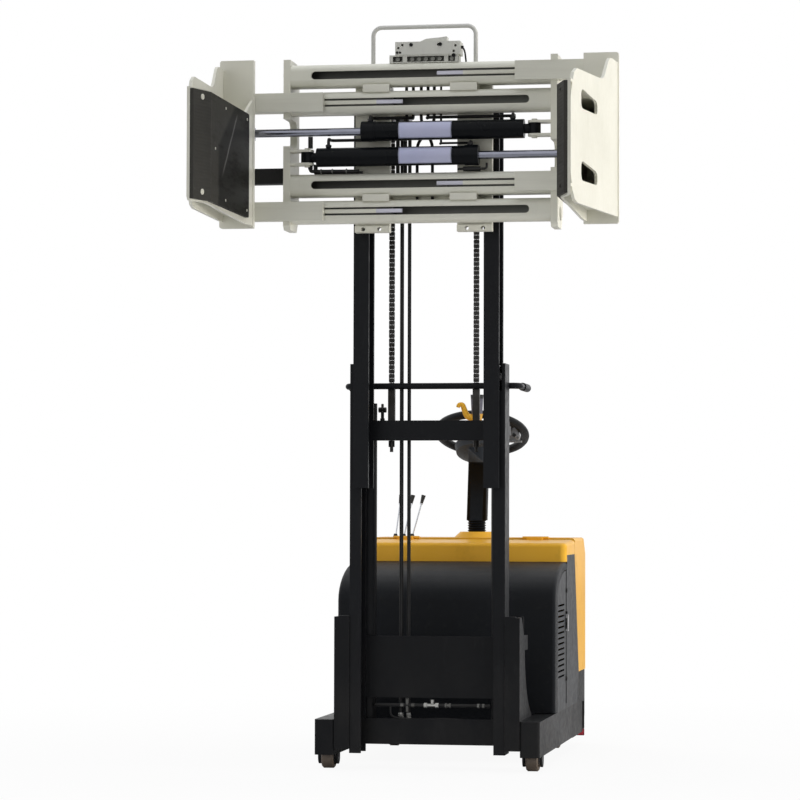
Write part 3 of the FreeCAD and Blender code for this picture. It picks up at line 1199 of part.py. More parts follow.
def arm_pad():
    """Rubber pad on the inner plate, flared at its front."""
    plan = [(ARM_FACE, PAD_BACK), (ARM_FACE, FLARE_Y), (ARM_TIP_FACE, ARM_TIP),
            (ARM_TIP_FACE + PAD_T, ARM_TIP), (ARM_FACE + PAD_T, FLARE_Y), (ARM_FACE + PAD_T, PAD_BACK)]
    pad = flat(plan, PAD_LOW, PAD_HIGH)
    return round_edges(pad, 10, lambda m, d: along_axis(d, X_AXIS) and m.y > PAD_BACK - 1)


def arm_slide(z):
    """One slide of the arm: cheek in front of the guide, neck in its slot, and the bar inside."""
    out = ARM_X_OUT - 12
    cheek_front = ARM_BACK_FRONT + ARM_BACK_T
    cheek = box(CHEEK_END, out, cheek_front, cheek_front + CHEEK_T, z - CHEEK_H / 2, z + CHEEK_H / 2)
    bar_front = GUIDE_FRONT + GUIDE_WALL + SLIDE_GAP
    bar_back = MOUNT_FRONT - GUIDE_WALL - SLIDE_GAP
    half = GUIDE_H / 2 - GUIDE_WALL - SLIDE_GAP
    neck = box(CHEEK_END, out, cheek_front + CHEEK_T, bar_front,
               z - SLOT_H / 2 + SLIDE_GAP, z + SLOT_H / 2 - SLIDE_GAP)
    bar = box(BLOCK_END, out, bar_front, bar_back, z - half, z + half)
    return fuse([cheek, neck, bar])


def cylinder_rod(arm):
    """Cylinder rod with its piston, held by a lug on the arm's back plate."""
    z = CYL_ZS[arm]
    stem = rod(Vec(CYL_ROD_INNER, CYL_Y, z), Vec(ARM_X_IN + 32, CYL_Y, z), CYL_ROD_R)
    piston = rod(Vec(CYL_ROD_INNER, CYL_Y, z), Vec(CYL_ROD_INNER + CYL_PISTON, CYL_Y, z),
                 CYL_BORE_R - PIN_GAP)
    half = ROD_BLOCK_HALF
    eye = box(ARM_X_IN + 12, ARM_X_IN + 60, ARM_BACK_FRONT + ARM_BACK_T, CYL_Y + half,
              z - half, z + half)
    return fuse([stem, piston, eye])


# ---- build ------------------------------------------------------------------------------------
def main():
    os.makedirs("parts", exist_ok=True)
    save("chassis_frame", [chassis_frame()])
    save("mast_supports", both(mast_support()))
    save("front_cover", [front_cover()])
    save("side_panel_right", side_panel())
    save("side_panel_left", [mirror(plate) for plate in side_panel()])
    save("battery_hood", [battery_hood()])
    save("rear_cowl", [rear_cowl()])
    save("battery", [battery()])
    save("steering_column", [steering_column()])
    save("steering_wheel", [steering_wheel()])
    save("control_grip", [control_grip()])
    save("control_levers", control_levers())
    save("grab_rail", [grab_rail()])
    save("outer_mast", [outer_mast()])
    save("outer_mast_rollers", outer_mast_rollers())
    save("lift_cylinders", both(lift_barrel()))
    save("chain_anchors", chain_anchors())
    save("hose_manifold", [hose_manifold()])
    save("chains_rear", chain_strand(SHEAVE_Y + SHEAVE_R + CHAIN_T / 2, ANCHOR_TOP, SHEAVE_Z))
    save("hoses_rear", hose_strand(1, HOSE_LOW, SHEAVE_Z))
    save("front_axles", both(load_axle()))
    centre = Vec(LOAD_WHEEL_X, LOAD_WHEEL_Y, LOAD_WHEEL_R)
    wheel = tyre_wheel(centre, LOAD_WHEEL_R, LOAD_WHEEL_W, LOAD_AXLE_R + PIN_GAP)
    save("front_wheel_right", [wheel])
    save("front_wheel_left", [mirror(wheel)])
    save("drive_unit", [drive_unit()])
    save("drive_wheel", [tyre_wheel(Vec(0, DRIVE_Y, DRIVE_WHEEL_R), DRIVE_WHEEL_R, DRIVE_WHEEL_W,
                                    DRIVE_AXLE_R + PIN_GAP)])
    for name, side in (("right", 1), ("left", -1)):
        save("caster_fork_" + name, [caster_fork(side)])
        centre = Vec(side * CASTER_X, CASTER_Y + CASTER_TRAIL, CASTER_R)
        save("caster_wheel_" + name, [tyre_wheel(centre, CASTER_R, CASTER_W, CASTER_AXLE_R + PIN_GAP)])
    save("platform_hinge", [platform_hinge()])
    save("rear_platform", [rear_platform()])
    save("inner_mast", [inner_mast()])
    save("inner_mast_rollers", inner_mast_rollers())
    save("lift_rods", both(lift_rod()))
    save("chain_sheaves", chain_sheaves())
    save("chain_turns", chain_turns())
    save("carriage_plates", [carriage_plates()])
    save("carriage_rollers", carriage_rollers())
    save("chains_front", chain_strand(SHEAVE_Y - SHEAVE_R - CHAIN_T / 2, CARRIAGE_ANCHOR_Z, SHEAVE_Z))
    save("hoses_front", hose_strand(-1, HOSE_END_Z, SHEAVE_Z))
    save("clamp_guides", clamp_guides())
    save("clamp_end_plates", [end_plate("right"), end_plate("left")])
    save("stop_bars", [stop_bar("right"), stop_bar("left")])
    save("clamp_cylinder_left", [clamp_cylinder("left").copy()])
    save("clamp_cylinder_right", [clamp_cylinder("right").copy()])
    save("valve_block", [valve_block()])
    save("guard_hoop", [guard_hoop()])
    frame = arm_frame()
    pad = arm_pad()
    for name, place in (("right", lambda shape: shape), ("left", mirror)):
        save(name + "_arm_frame", [place(frame)])
        save(name + "_arm_pad", [place(pad)])
        save(name + "_arm_slides", [place(arm_slide(z)) for z in GUIDE_ZS[name]])
        save(name + "_cylinder_rod", [place(cylinder_rod(name))])


main()
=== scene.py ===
# %% [markdown]
# # Bale clamp stacker: looks
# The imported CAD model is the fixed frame. Each step below dresses one finish, or adds one family of
# small parts that a solid modeller leaves out: chain links, hoses, pipes, screws and welds.
# Everything is in metres, with +Z up and the clamp towards -Y.

import json
import math

import bmesh
import bpy
from mathutils import Matrix, Vector


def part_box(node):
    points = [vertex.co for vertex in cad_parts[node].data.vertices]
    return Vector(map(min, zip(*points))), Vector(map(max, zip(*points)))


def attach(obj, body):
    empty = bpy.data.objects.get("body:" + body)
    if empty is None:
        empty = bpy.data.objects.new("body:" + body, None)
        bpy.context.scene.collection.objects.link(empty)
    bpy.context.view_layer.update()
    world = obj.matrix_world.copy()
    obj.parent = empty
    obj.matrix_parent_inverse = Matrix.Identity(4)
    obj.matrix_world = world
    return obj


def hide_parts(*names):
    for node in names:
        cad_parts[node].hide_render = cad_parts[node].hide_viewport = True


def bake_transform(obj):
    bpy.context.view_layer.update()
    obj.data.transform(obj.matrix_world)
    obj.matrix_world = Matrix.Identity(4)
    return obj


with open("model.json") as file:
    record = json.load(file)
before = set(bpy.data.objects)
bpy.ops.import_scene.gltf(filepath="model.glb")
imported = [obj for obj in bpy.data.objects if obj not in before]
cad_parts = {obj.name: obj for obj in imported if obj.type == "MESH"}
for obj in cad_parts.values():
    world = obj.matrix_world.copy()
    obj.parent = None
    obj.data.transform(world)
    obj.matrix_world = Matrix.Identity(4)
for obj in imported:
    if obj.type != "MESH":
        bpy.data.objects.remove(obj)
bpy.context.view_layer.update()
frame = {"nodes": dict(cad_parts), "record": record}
nodes = frame["nodes"]
print("CAD nodes:", len(nodes))

# %% [markdown]
# ## Shader maths that reads like maths
# A node tree is slow to read when every add and multiply is a line of its own. This small class
# wraps a socket, so `1 - mask * 0.3` adds the Math nodes itself, and plain numbers stay in Python.

# %% Sockets with operators
def operator(operation, reflected=False):
    """A method that adds one Math node; the reflected form puts the other number first."""
    def method(self, other):
        first, second = (other, self) if reflected else (self, other)
        return self.recipe.node("Math", {"operation": operation}, {0: first, 1: second})
    return method


class Value:
    """An output socket that adds Math nodes when it meets an operator."""

    def __init__(self, recipe, socket):
        self.recipe = recipe
        self.socket = socket

    def __abs__(self):
        return self.recipe.node("Math", {"operation": "ABSOLUTE"}, {0: self})

    __add__ = operator("ADD")
    __radd__ = operator("ADD", True)
    __sub__ = operator("SUBTRACT")
    __rsub__ = operator("SUBTRACT", True)
    __mul__ = operator("MULTIPLY")
    __rmul__ = operator("MULTIPLY", True)
    __truediv__ = operator("DIVIDE")
    __rtruediv__ = operator("DIVIDE", True)
    __pow__ = operator("POWER")
    __rpow__ = operator("POWER", True)


# %% [markdown]
# ## One recipe per finish
# A recipe owns a material's node tree. `node` is the one way to add anything that isn't arithmetic:
# type, settings, then inputs. The other methods are the few moves that every finish repeats, such as
# `ramp`, which turns noise into a mask, and `mix`, which blends two colours by a mask.

# %% The recipe class
class Recipe:
    """A material built from procedural nodes around one Principled shader."""

    def __init__(self, name):
        self.material = bpy.data.materials.new(name)
        self.material.use_nodes = True
        self.tree = self.material.node_tree
        self.tree.nodes.clear()
        self.shader = self.tree.nodes.new("ShaderNodeBsdfPrincipled")
        out = self.tree.nodes.new("ShaderNodeOutputMaterial")
        self.tree.links.new(self.shader.outputs[0], out.inputs["Surface"])
        self.where = self.node("TexCoord", {}, {}, "Object")

    def plug(self, socket, value):
        """Links a value to a socket, or sets a plain number or colour on it."""
        if isinstance(value, Value):
            self.tree.links.new(value.socket, socket)
        elif socket.type == "RGBA":
            socket.default_value = (*value, 1.0)
        else:
            socket.default_value = value

    def node(self, kind, settings, inputs, output=0):
        made = self.tree.nodes.new("ShaderNode" + kind)
        for key, value in settings.items():
            setattr(made, key, value)
        for key, value in inputs.items():
            self.plug(made.inputs[key], value)
        return Value(self, made.outputs[output])

    def noise(self, scale, detail=2.0, rough=0.5, stretch=(1, 1, 1)):
        place = self.where
        if stretch != (1, 1, 1):
            place = self.node("Mapping", {}, {"Vector": place, "Scale": stretch})
        return self.node("TexNoise", {}, {"Vector": place, "Scale": scale, "Detail": detail,
                                          "Roughness": rough})

    def cells(self, scale):
        """Distance to the nearest edge of a pattern of cells, as moulded grain has."""
        return self.node("TexVoronoi", {"feature": "DISTANCE_TO_EDGE"},
                         {"Vector": self.where, "Scale": scale})

    def ramp(self, value, low, high, start=0.0, end=1.0):
        """value mapped from low..high to start..end, clamped."""
        return self.node("MapRange", {"clamp": True}, {"Value": value, "From Min": low, "From Max": high,
                                                       "To Min": start, "To Max": end})

    def band(self, value, low, high, fade):
        """1 between low and high, 0 outside them."""
        return self.ramp(value, low, low + fade) * self.ramp(value, high, high - fade)

    def mix(self, mask, first, second):
        return self.node("Mix", {"data_type": "RGBA"}, {0: mask, 6: first, 7: second}, 2)

    def place(self):
        """The object's own coordinates in metres, as three numbers: across, along and up."""
        return [self.node("SeparateXYZ", {}, {0: self.where}, i) for i in range(3)]

    def height(self):
        """Height above the ground, in metres."""
        return self.place()[2]

    def edges(self, radius):
        """1 along sharp edges, 0 on flat faces: how far a rounded normal leans from the true one."""
        soft = self.node("Bevel", {"samples": 4}, {"Radius": radius})
        true = self.node("NewGeometry", {}, {}, "True Normal")
        dot = self.node("VectorMath", {"operation": "DOT_PRODUCT"}, {0: soft, 1: true}, "Value")
        return self.ramp(dot, 0.99, 0.75)

    def bump(self, value, distance, strength, under=None):
        """Relief from a value; under is a coarser relief below it."""
        inputs = {"Height": value, "Distance": distance, "Strength": strength}
        if under:
            inputs["Normal"] = under
        return self.node("Bump", {}, inputs)

    def finish(self, **sockets):
        """Fills the shader's sockets, named with _ for a space, and gives the material."""
        for key, value in sockets.items():
            self.plug(self.shader.inputs[key.replace("_", " ")], value)
        return self.material


# %% [markdown]
# ## Paint on steel
# The black mast paint and the cream clamp paint are sprayed coats. Real ones show a fine orange
# peel, slow changes of gloss where hands and dust have been, and bare or darker lines where sharp
# edges rub. A painted image would first need every node unwrapped. Noise in an object's own
# coordinates fits any shape, so one function makes each coat from its own colours and strengths.

# %% Sprayed paint
FLOOR_DUST = (0.10, 0.093, 0.083)
DUST_TOP = 0.55
WEAR_RADIUS = 0.0022
# Grease colours with painted shade: a dark end, and a lighter end for painted light on the key side.
SHADE_AND_GREASE_DARK = (0.085, 0.082, 0.076)
SHADE_AND_GREASE_KEY_LIT = (0.22, 0.225, 0.20)


def sprayed_paint(name, colour, shade, rough, edge, edge_colour, dust=0.0, peel=0.00012, shine=0.5,
                  grease_and_shade=None, rub=0.14):
    """Sprayed coat; grease_and_shade is a function that masks the places painted dark with grease and
    painted shade, lighter to the right as painted light.
    """
    r = Recipe(name)
    cloud = r.ramp(r.noise(3.1, 3.0), 0.35, 0.68)
    speck = r.ramp(r.noise(46.0, 4.0, 0.6), 0.42, 0.60)
    base = r.mix(cloud * 0.8, colour, shade)
    scuff = r.ramp(r.noise(19.0, 5.0, 0.7, (1, 1, 0.25)), 0.57, 0.72)
    base = r.mix(scuff * rub, base, edge_colour)
    worn = r.edges(WEAR_RADIUS) * speck * edge
    base = r.mix(worn, base, edge_colour)
    if dust:
        low = r.ramp(r.height(), DUST_TOP, 0.0) * r.ramp(r.noise(7.0, 4.0), 0.3, 0.75)
        base = r.mix(low * dust, base, FLOOR_DUST)
    if grease_and_shade:
        # Grease and painted shade, lighter towards +X as painted light from the key lamp on the right.
        smear_and_key_light = r.ramp(r.noise(5.0, 3.0, 0.5, (1, 0.2, 0.2)) * 0.3 + r.place()[0], -0.30, 0.55)
        base = r.mix(grease_and_shade(r), base, r.mix(smear_and_key_light, SHADE_AND_GREASE_DARK, SHADE_AND_GREASE_KEY_LIT))
    gloss = rough + 0.12 * cloud - 0.08 * speck + scuff * 0.12
    fine = r.noise(420.0)
    wave = r.noise(38.0)
    normal = r.bump(fine, peel, 0.6, r.bump(wave, peel * 2.5, 0.5))
    return r.finish(Base_Color=base, Roughness=gloss, Normal=normal, Specular_IOR_Level=shine)


# %% Dark coats and cream coats
CREAM = (0.735, 0.730, 0.640)
CREAM_SHADE = (0.665, 0.662, 0.580)
CREAM_WORN = (0.36, 0.33, 0.27)
mast_black = sprayed_paint("mast_black", (0.0075, 0.0080, 0.0095), (0.0100, 0.0108, 0.0128), 0.38, 0.50,
                           (0.045, 0.046, 0.048), dust=0.14, shine=0.12)
frame_black = sprayed_paint("frame_black", (0.0062, 0.0067, 0.0080), (0.0092, 0.0098, 0.0114), 0.40, 0.5,
                            (0.05, 0.05, 0.052), dust=0.16, shine=0.12)
panel_grey = sprayed_paint("panel_grey", (0.029, 0.031, 0.035), (0.036, 0.038, 0.042), 0.46, 0.35,
                           (0.075, 0.076, 0.078), dust=0.14, peel=0.0002, shine=0.22, rub=0.04)
clamp_cream = sprayed_paint("clamp_cream", (0.740, 0.730, 0.640), (0.670, 0.662, 0.580), 0.36, 0.30,
                            CREAM_WORN, shine=0.4, rub=0.06)
hoop_cream = sprayed_paint("hoop_cream", (0.60, 0.60, 0.57), (0.53, 0.53, 0.505), 0.34, 0.30,
                           (0.36, 0.34, 0.30), shine=0.4)
print("five coats made")

# %% [markdown]
# ## Grease and painted shade inside the guides, painted shade in the valve's pockets
# The slides leave old grease on the inner walls of their guides, with painted shade over it, and the
# pockets round the valve's unions are painted in shade; both are painted lighter towards the right, as
# painted light from the key lamp. The faces could be given a second material, but the CAD mesh is left
# alone, so a mask from the node's own box picks them out, and the paint function darkens what the mask
# shows.

# %% Masks and the coats that use them
CHEEK_HALF = 0.033
GUIDE_WALL = 0.0092


def slide_rows(arm):
    """Heights of the middles of an arm's two slides, lower one first."""
    low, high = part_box(arm + "_arm_slides")
    return low[2] + CHEEK_HALF, high[2] - CHEEK_HALF


def guide_grease_and_shade(r):
    """Inside of the four clamp guides, painted dark with grease and painted shade."""
    across, along, up = r.place()
    low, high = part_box("clamp_guides")
    depth = r.band(along, low[1] + GUIDE_WALL, high[1] - GUIDE_WALL, 0.0005)
    ends = r.ramp(abs(across), high[0] - 0.0010, high[0] - 0.0015)
    rows = 0.0
    for arm in ("right", "left"):
        for centre in slide_rows(arm):
            rows = rows + r.ramp(abs(up - centre), 0.0294, 0.0289)
    return depth * ends * rows


def valve_pocket_shade(r):
    """Pockets of the valve's base, painted in shade, darkest at the top."""
    _, along, up = r.place()
    front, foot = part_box("valve_block")[0][1:]
    deep = r.band(along, front + 0.0062, front + 0.0268, 0.0008)
    tall = r.band(up, foot + 0.0028, foot + 0.0224, 0.0004)
    return deep * tall * r.ramp(up, foot + 0.004, foot + 0.018, 0.62, 1.0)


guide_cream = sprayed_paint("guide_cream", CREAM, CREAM_SHADE, 0.36, 0.30, CREAM_WORN, shine=0.4,
                            grease_and_shade=guide_grease_and_shade)
valve_grey = sprayed_paint("valve_grey", (0.67, 0.67, 0.62), (0.61, 0.61, 0.56), 0.42, 0.35,
                           (0.20, 0.19, 0.17), shine=0.3, grease_and_shade=valve_pocket_shade)
print("slides at heights", [round(z, 4) for arm in ("right", "left") for z in slide_rows(arm)])

# %% [markdown]
# ## Moulded covers
# The hood and cowl are thick amber mouldings with a thin clear coat that gives them depth. Covers,
# guards, grips and the wheel are dark mouldings with a leathery grain about a millimetre across.
# That is too fine to model, so the edges of a cell pattern drive a bump node.

# %% Mouldings
def amber_moulding():
    r = Recipe("amber_moulding")
    cloud = r.ramp(r.noise(2.3, 3.0), 0.3, 0.7)
    base = r.mix(cloud, (0.77, 0.395, 0.028), (0.87, 0.475, 0.045))
    grime = r.ramp(r.noise(11.0, 6.0, 0.65), 0.56, 0.75)
    base = r.mix(grime * 0.22, base, (0.36, 0.16, 0.02))
    # Edges pale in the lit side's colour: rubbed wear with a painted edge highlight.
    rubbed_and_lit_edges = r.edges(0.004) * r.ramp(r.noise(30.0, 4.0), 0.4, 0.65)
    base = r.mix(rubbed_and_lit_edges * 0.4, base, (0.93, 0.62, 0.20))
    return r.finish(Base_Color=base, Roughness=0.34 + 0.12 * cloud + grime * 0.15,
                    Normal=r.bump(r.noise(26.0), 0.0005, 0.5),
                    Specular_IOR_Level=0.20, Coat_Weight=0.10, Coat_Roughness=0.14)


def grained_moulding(name, colour, light, rough, grain=0.0003, scale=900.0, shine=0.25):
    r = Recipe(name)
    cloud = r.ramp(r.noise(4.0, 4.0), 0.35, 0.7)
    base = r.mix(cloud, colour, light)
    dust = r.ramp(r.noise(30.0, 6.0, 0.7), 0.55, 0.8)
    base = r.mix(dust * 0.06, base, (0.12, 0.115, 0.10))
    return r.finish(Base_Color=base, Roughness=rough + 0.1 * cloud, Specular_IOR_Level=shine,
                    Normal=r.bump(r.ramp(r.cells(scale), 0.0, 0.12), grain, 0.5))


hood_amber = amber_moulding()
cover_black = grained_moulding("cover_black", (0.0038, 0.0048, 0.0066), (0.0058, 0.0070, 0.0092), 0.42,
                               shine=0.16)
trim_black = grained_moulding("trim_black", (0.0065, 0.0066, 0.0070), (0.0100, 0.0100, 0.0108), 0.5)
guard_black = grained_moulding("guard_black", (0.0055, 0.0056, 0.0060), (0.0100, 0.0100, 0.0106), 0.55)
pod_grey = grained_moulding("pod_grey", (0.17, 0.175, 0.185), (0.22, 0.225, 0.235), 0.42, shine=0.4)
wheel_black = grained_moulding("wheel_black", (0.0045, 0.0048, 0.0054), (0.0080, 0.0084, 0.0092), 0.34,
                               shine=0.18)
battery_case = grained_moulding("battery_case", (0.05, 0.05, 0.055), (0.07, 0.07, 0.075), 0.5)
strip_red = grained_moulding("strip_red", (0.42, 0.020, 0.045), (0.55, 0.035, 0.06), 0.35, shine=0.5)
handle_pale = grained_moulding("handle_pale", (0.36, 0.36, 0.37), (0.46, 0.46, 0.47), 0.35, shine=0.5)
label_white = grained_moulding("label_white", (0.46, 0.48, 0.68), (0.56, 0.57, 0.74), 0.30, grain=0.00005,
                               scale=500.0, shine=0.5)
label_border = grained_moulding("label_border", (0.30, 0.31, 0.42), (0.36, 0.37, 0.48), 0.34, grain=0.00005,
                                scale=500.0, shine=0.4)
print("mouldings made")

# %% [markdown]
# ## Bare metal
# A chrome rod is polished as it turns, which leaves very fine rings round it. Noise that is
# stretched square to the rod gives those rings, and needs no model of them. Machined rollers and
# pins are duller and carry a film of grease.

# %% Metals
def bright_metal(name, colour, rough, stretch, grease=0.0):
    r = Recipe(name)
    grain = r.noise(700.0, 2.0, 0.5, stretch)
    film = r.ramp(r.noise(9.0, 5.0, 0.6), 0.45, 0.75)
    base = r.mix(film * 0.5, colour, tuple(c * 0.72 for c in colour))
    if grease:
        base = r.mix(film * grease, base, (0.03, 0.026, 0.02))
    return r.finish(Base_Color=base, Metallic=1.0, Roughness=rough + 0.10 * grain + film * 0.10,
                    Normal=r.bump(grain, 0.00004, 0.4))


rod_chrome = bright_metal("rod_chrome", (0.28, 0.29, 0.35), 0.12, (1, 0.02, 0.02))
lift_chrome = bright_metal("lift_chrome", (0.50, 0.52, 0.56), 0.14, (0.02, 0.02, 1))
bearing_steel = bright_metal("bearing_steel", (0.22, 0.22, 0.23), 0.34, (0.05, 1, 1), grease=0.6)
dull_zinc = bright_metal("dull_zinc", (0.16, 0.16, 0.155), 0.38, (1, 1, 1), grease=0.7)
bolt_zinc = bright_metal("bolt_zinc", (0.50, 0.50, 0.48), 0.30, (1, 1, 1), grease=0.15)
chain_steel = bright_metal("chain_steel", (0.060, 0.058, 0.056), 0.40, (1, 1, 1), grease=0.7)
print("metals made")

# %% [markdown]
# ## Parts with two finishes
# Some nodes are one solid with two or three finishes: the slides, the hand levers, the steering head
# and the grip. They could be split into pieces, but a mask from the object's own coordinates keeps
# the mesh whole, and divides the finishes where masking tape or a joint would.

# %% Slides
SLEEVE_END = 0.335
BAR_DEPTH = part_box("clamp_guides")[0][1] + 0.0125
BEHIND_ALL = BAR_DEPTH + 1.0


def slide_finish(name, bar_depth, wiped_to):
    """Cream outside the guide, grease and painted shade on the bar in it, polished where a strip is wiped.
    """
    r = Recipe(name)
    across, along, _ = r.place()
    wiped = r.ramp(abs(across), wiped_to + 0.003, wiped_to)
    in_guide = r.ramp(abs(across), SLEEVE_END + 0.001, SLEEVE_END)
    # The bar's face in the guide is painted dark: grease, and the painted shade of the grooves beside the
    # strip.
    grease_and_shade = r.ramp(along, bar_depth - 0.0003, bar_depth) * in_guide
    cloud = r.ramp(r.noise(3.1, 3.0), 0.35, 0.68)
    scratch = r.ramp(r.noise(60.0, 5.0, 0.7, (0.05, 1, 1)), 0.45, 0.7)
    paint = r.mix(cloud, CREAM, CREAM_SHADE)
    paint = r.mix(scratch * 0.16, paint, (0.42, 0.39, 0.33))
    steel = r.mix(scratch * 0.5, (0.56, 0.56, 0.64), (0.40, 0.40, 0.46))
    base = r.mix(wiped * (1 - grease_and_shade), paint, steel)
    base = r.mix(grease_and_shade, base, (0.0340, 0.0338, 0.0300))
    return r.finish(Base_Color=base, Metallic=wiped * (1 - grease_and_shade) * 0.35,
                    Roughness=0.38 + scratch * 0.1, Normal=r.bump(scratch, 0.0001, 0.4))


slide_cream = slide_finish("slide_cream", BAR_DEPTH, 0.0)
strip_steel = slide_finish("strip_steel", BEHIND_ALL, 0.150)
print("grease starts at y", round(BAR_DEPTH, 4))

# %% Levers, steering head and grip
CAP_BLACK = (0.012, 0.012, 0.013)
lever_low, lever_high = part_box("control_levers")
grip_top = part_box("control_grip")[1][2]


def lever_finish(knob_from, boot_to):
    """Black boot, bright rod, dark knob."""
    r = Recipe("lever_finish")
    up = r.height()
    knob = r.ramp(up, knob_from, knob_from + 0.001)
    boot = r.ramp(up, boot_to + 0.001, boot_to)
    dark = knob + boot
    streak = r.noise(300.0, 2.0, 0.5, (1, 1, 0.1))
    base = r.mix(dark, (0.62, 0.64, 0.68), CAP_BLACK)
    return r.finish(Base_Color=base, Metallic=1 - dark, Roughness=0.16 + dark * 0.3 + streak * 0.05,
                    Normal=r.bump(streak, 0.00004, 0.3))


def head_finish(post_top):
    """Black post below, grey moulding on the dished head above."""
    r = Recipe("steering_head")
    head = r.ramp(r.height(), post_top - 0.0005, post_top + 0.0005)
    cloud = r.ramp(r.noise(6.0, 4.0), 0.35, 0.7)
    post = r.mix(cloud, (0.0030, 0.0038, 0.0052), (0.0050, 0.0060, 0.0078))
    grey = r.mix(cloud, (0.048, 0.054, 0.064), (0.066, 0.074, 0.086))
    return r.finish(Base_Color=r.mix(head, post, grey), Roughness=0.44 + 0.1 * cloud,
                    Specular_IOR_Level=0.14,
                    Normal=r.bump(r.ramp(r.cells(700.0), 0.0, 0.12), 0.00025, 0.5))


def grip_finish(amber_to, cap_from):
    """Amber foot, grey handle, dark cap."""
    r = Recipe("grip_finish")
    up = r.height()
    foot = r.ramp(up, amber_to + 0.0005, amber_to - 0.0005)
    cap = r.ramp(up, cap_from, cap_from + 0.001)
    cloud = r.ramp(r.noise(18.0, 4.0), 0.35, 0.7)
    base = r.mix(cloud, (0.085, 0.085, 0.115), (0.120, 0.118, 0.150))
    base = r.mix(foot, base, (0.60, 0.33, 0.055))
    base = r.mix(cap, base, CAP_BLACK)
    return r.finish(Base_Color=base, Roughness=0.40 + 0.1 * cloud,
                    Normal=r.bump(r.noise(500.0), 0.0001, 0.4))


lever_steel = lever_finish(knob_from=lever_high[2] - 0.034, boot_to=lever_low[2] + 0.013)
head_trim = head_finish(post_top=1.098)
grip_trim = grip_finish(amber_to=1.283, cap_from=grip_top - 0.016)
print("levers reach", round(lever_high[2], 3), "m, the grip", round(grip_top, 3), "m")

# %% [markdown]
# ## Rubber, polyurethane and gloss cylinder paint
# The wheels are brown polyurethane on a dark hub, dusty where they roll. The pads are black rubber,
# ribbed at the lead-in and scuffed by bales. The cylinders are gloss black. A wheel's tread and hub
# part at a circle, so its mask is a distance from the axle, worked out from the node's box.

# %% Hoses and wheels
def rubber(name, colour, dusty, rough, amount):
    r = Recipe(name)
    dust = r.ramp(r.noise(14.0, 6.0, 0.7), 0.42, 0.78)
    base = r.mix(dust * amount, colour, dusty)
    return r.finish(Base_Color=base, Roughness=rough + 0.12 * dust, Specular_IOR_Level=0.3,
                    Normal=r.bump(r.noise(260.0, 3.0), 0.0002, 0.5))


def wheel_finish(name, node):
    """Brown tread on a greasy dark hub; the split is a circle round the node's own axle."""
    r = Recipe(name)
    low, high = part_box(node)
    radius = (high[2] - low[2]) / 2
    _, along, up = r.place()
    along = along - (low[1] + high[1]) / 2
    up = up - (low[2] + high[2]) / 2
    out = (along * along + up * up) ** 0.5
    hub = r.ramp(out, radius * 0.76, radius * 0.74)
    dust = r.ramp(r.noise(40.0, 6.0, 0.7), 0.40, 0.78)
    tread = r.mix(dust * 0.7, (0.130, 0.098, 0.074), (0.090, 0.080, 0.068))
    tread = r.mix(r.ramp(r.noise(90.0, 4.0, 0.6), 0.60, 0.68) * 0.6, tread, (0.07, 0.060, 0.050))
    steel = r.mix(dust, (0.05, 0.05, 0.052), (0.09, 0.085, 0.075))
    return r.finish(Base_Color=r.mix(hub, tread, steel), Metallic=hub * 0.6,
                    Roughness=0.42 + 0.12 * dust, Normal=r.bump(r.noise(200.0, 4.0, 0.6), 0.0004, 0.5))


load_tan = wheel_finish("load_tan", "front_wheel_right")
drive_tan = wheel_finish("drive_tan", "drive_wheel")
caster_tan = wheel_finish("caster_tan", "caster_wheel_right")
hose_black = rubber("hose_black", (0.0075, 0.0075, 0.0082), (0.035, 0.034, 0.030), 0.40, 0.30)
print("hose and wheel finishes made")

# %% Pads and cylinders
LEAD_IN = 0.100


def pad_rubber():
    """Black rubber with ribs on the lead-in, a painted reflection inward of it, and a long streak."""
    r = Recipe("pad_rubber")
    _, along, up = r.place()
    low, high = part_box("right_arm_pad")
    scuff = r.ramp(r.noise(16.0, 6.0, 0.75, (1, 0.18, 1)), 0.50, 0.74)
    fine = r.ramp(r.noise(45.0, 4.0, 0.7), 0.45, 0.75)
    base = r.mix(scuff * 0.16, (0.0050, 0.0048, 0.0043), (0.030, 0.028, 0.025))
    reach = (along - low[1] - LEAD_IN) / (high[1] - low[1] - LEAD_IN)
    depth = (high[2] - up) / (high[2] - low[2])
    # Painted reflection: a lighter band inward of the lead-in, standing for a highlight on the rubber.
    painted_reflection = r.ramp(reach - 0.43 * r.ramp(depth, 0.45, 0.0), 0.225, 0.165)
    base = r.mix(painted_reflection * (0.55 + 0.25 * fine), base, (0.058, 0.055, 0.048))
    streak = abs(reach + 0.596 * depth - 0.72 + (r.noise(7.0, 3.0) - 0.5) * 0.03)
    shine = r.ramp(streak, 0.020, 0.006) * r.ramp(depth, 0.06, 0.14) * r.ramp(depth, 0.74, 0.60)
    base = r.mix(shine * (0.35 + 0.4 * fine), base, (0.15, 0.145, 0.135))
    flare = r.ramp(along, low[1] + LEAD_IN + 0.008, low[1] + LEAD_IN - 0.002)
    base = r.mix(flare * 0.62, base, (0.062, 0.061, 0.056))
    rib = r.node("TexWave", {"wave_type": "BANDS", "bands_direction": "Z"},
                 {"Vector": r.where, "Scale": 28.0, "Distortion": 0.0})
    inner = flare * r.ramp(along, low[1] + 0.006, low[1] + 0.012)
    ribs = r.bump(rib * inner, 0.0007, 0.6)
    return r.finish(Base_Color=base, Roughness=0.46 + 0.2 * scuff - shine * 0.15,
                    Normal=r.bump(r.noise(300.0), 0.0002, 0.4, ribs), Specular_IOR_Level=0.05)


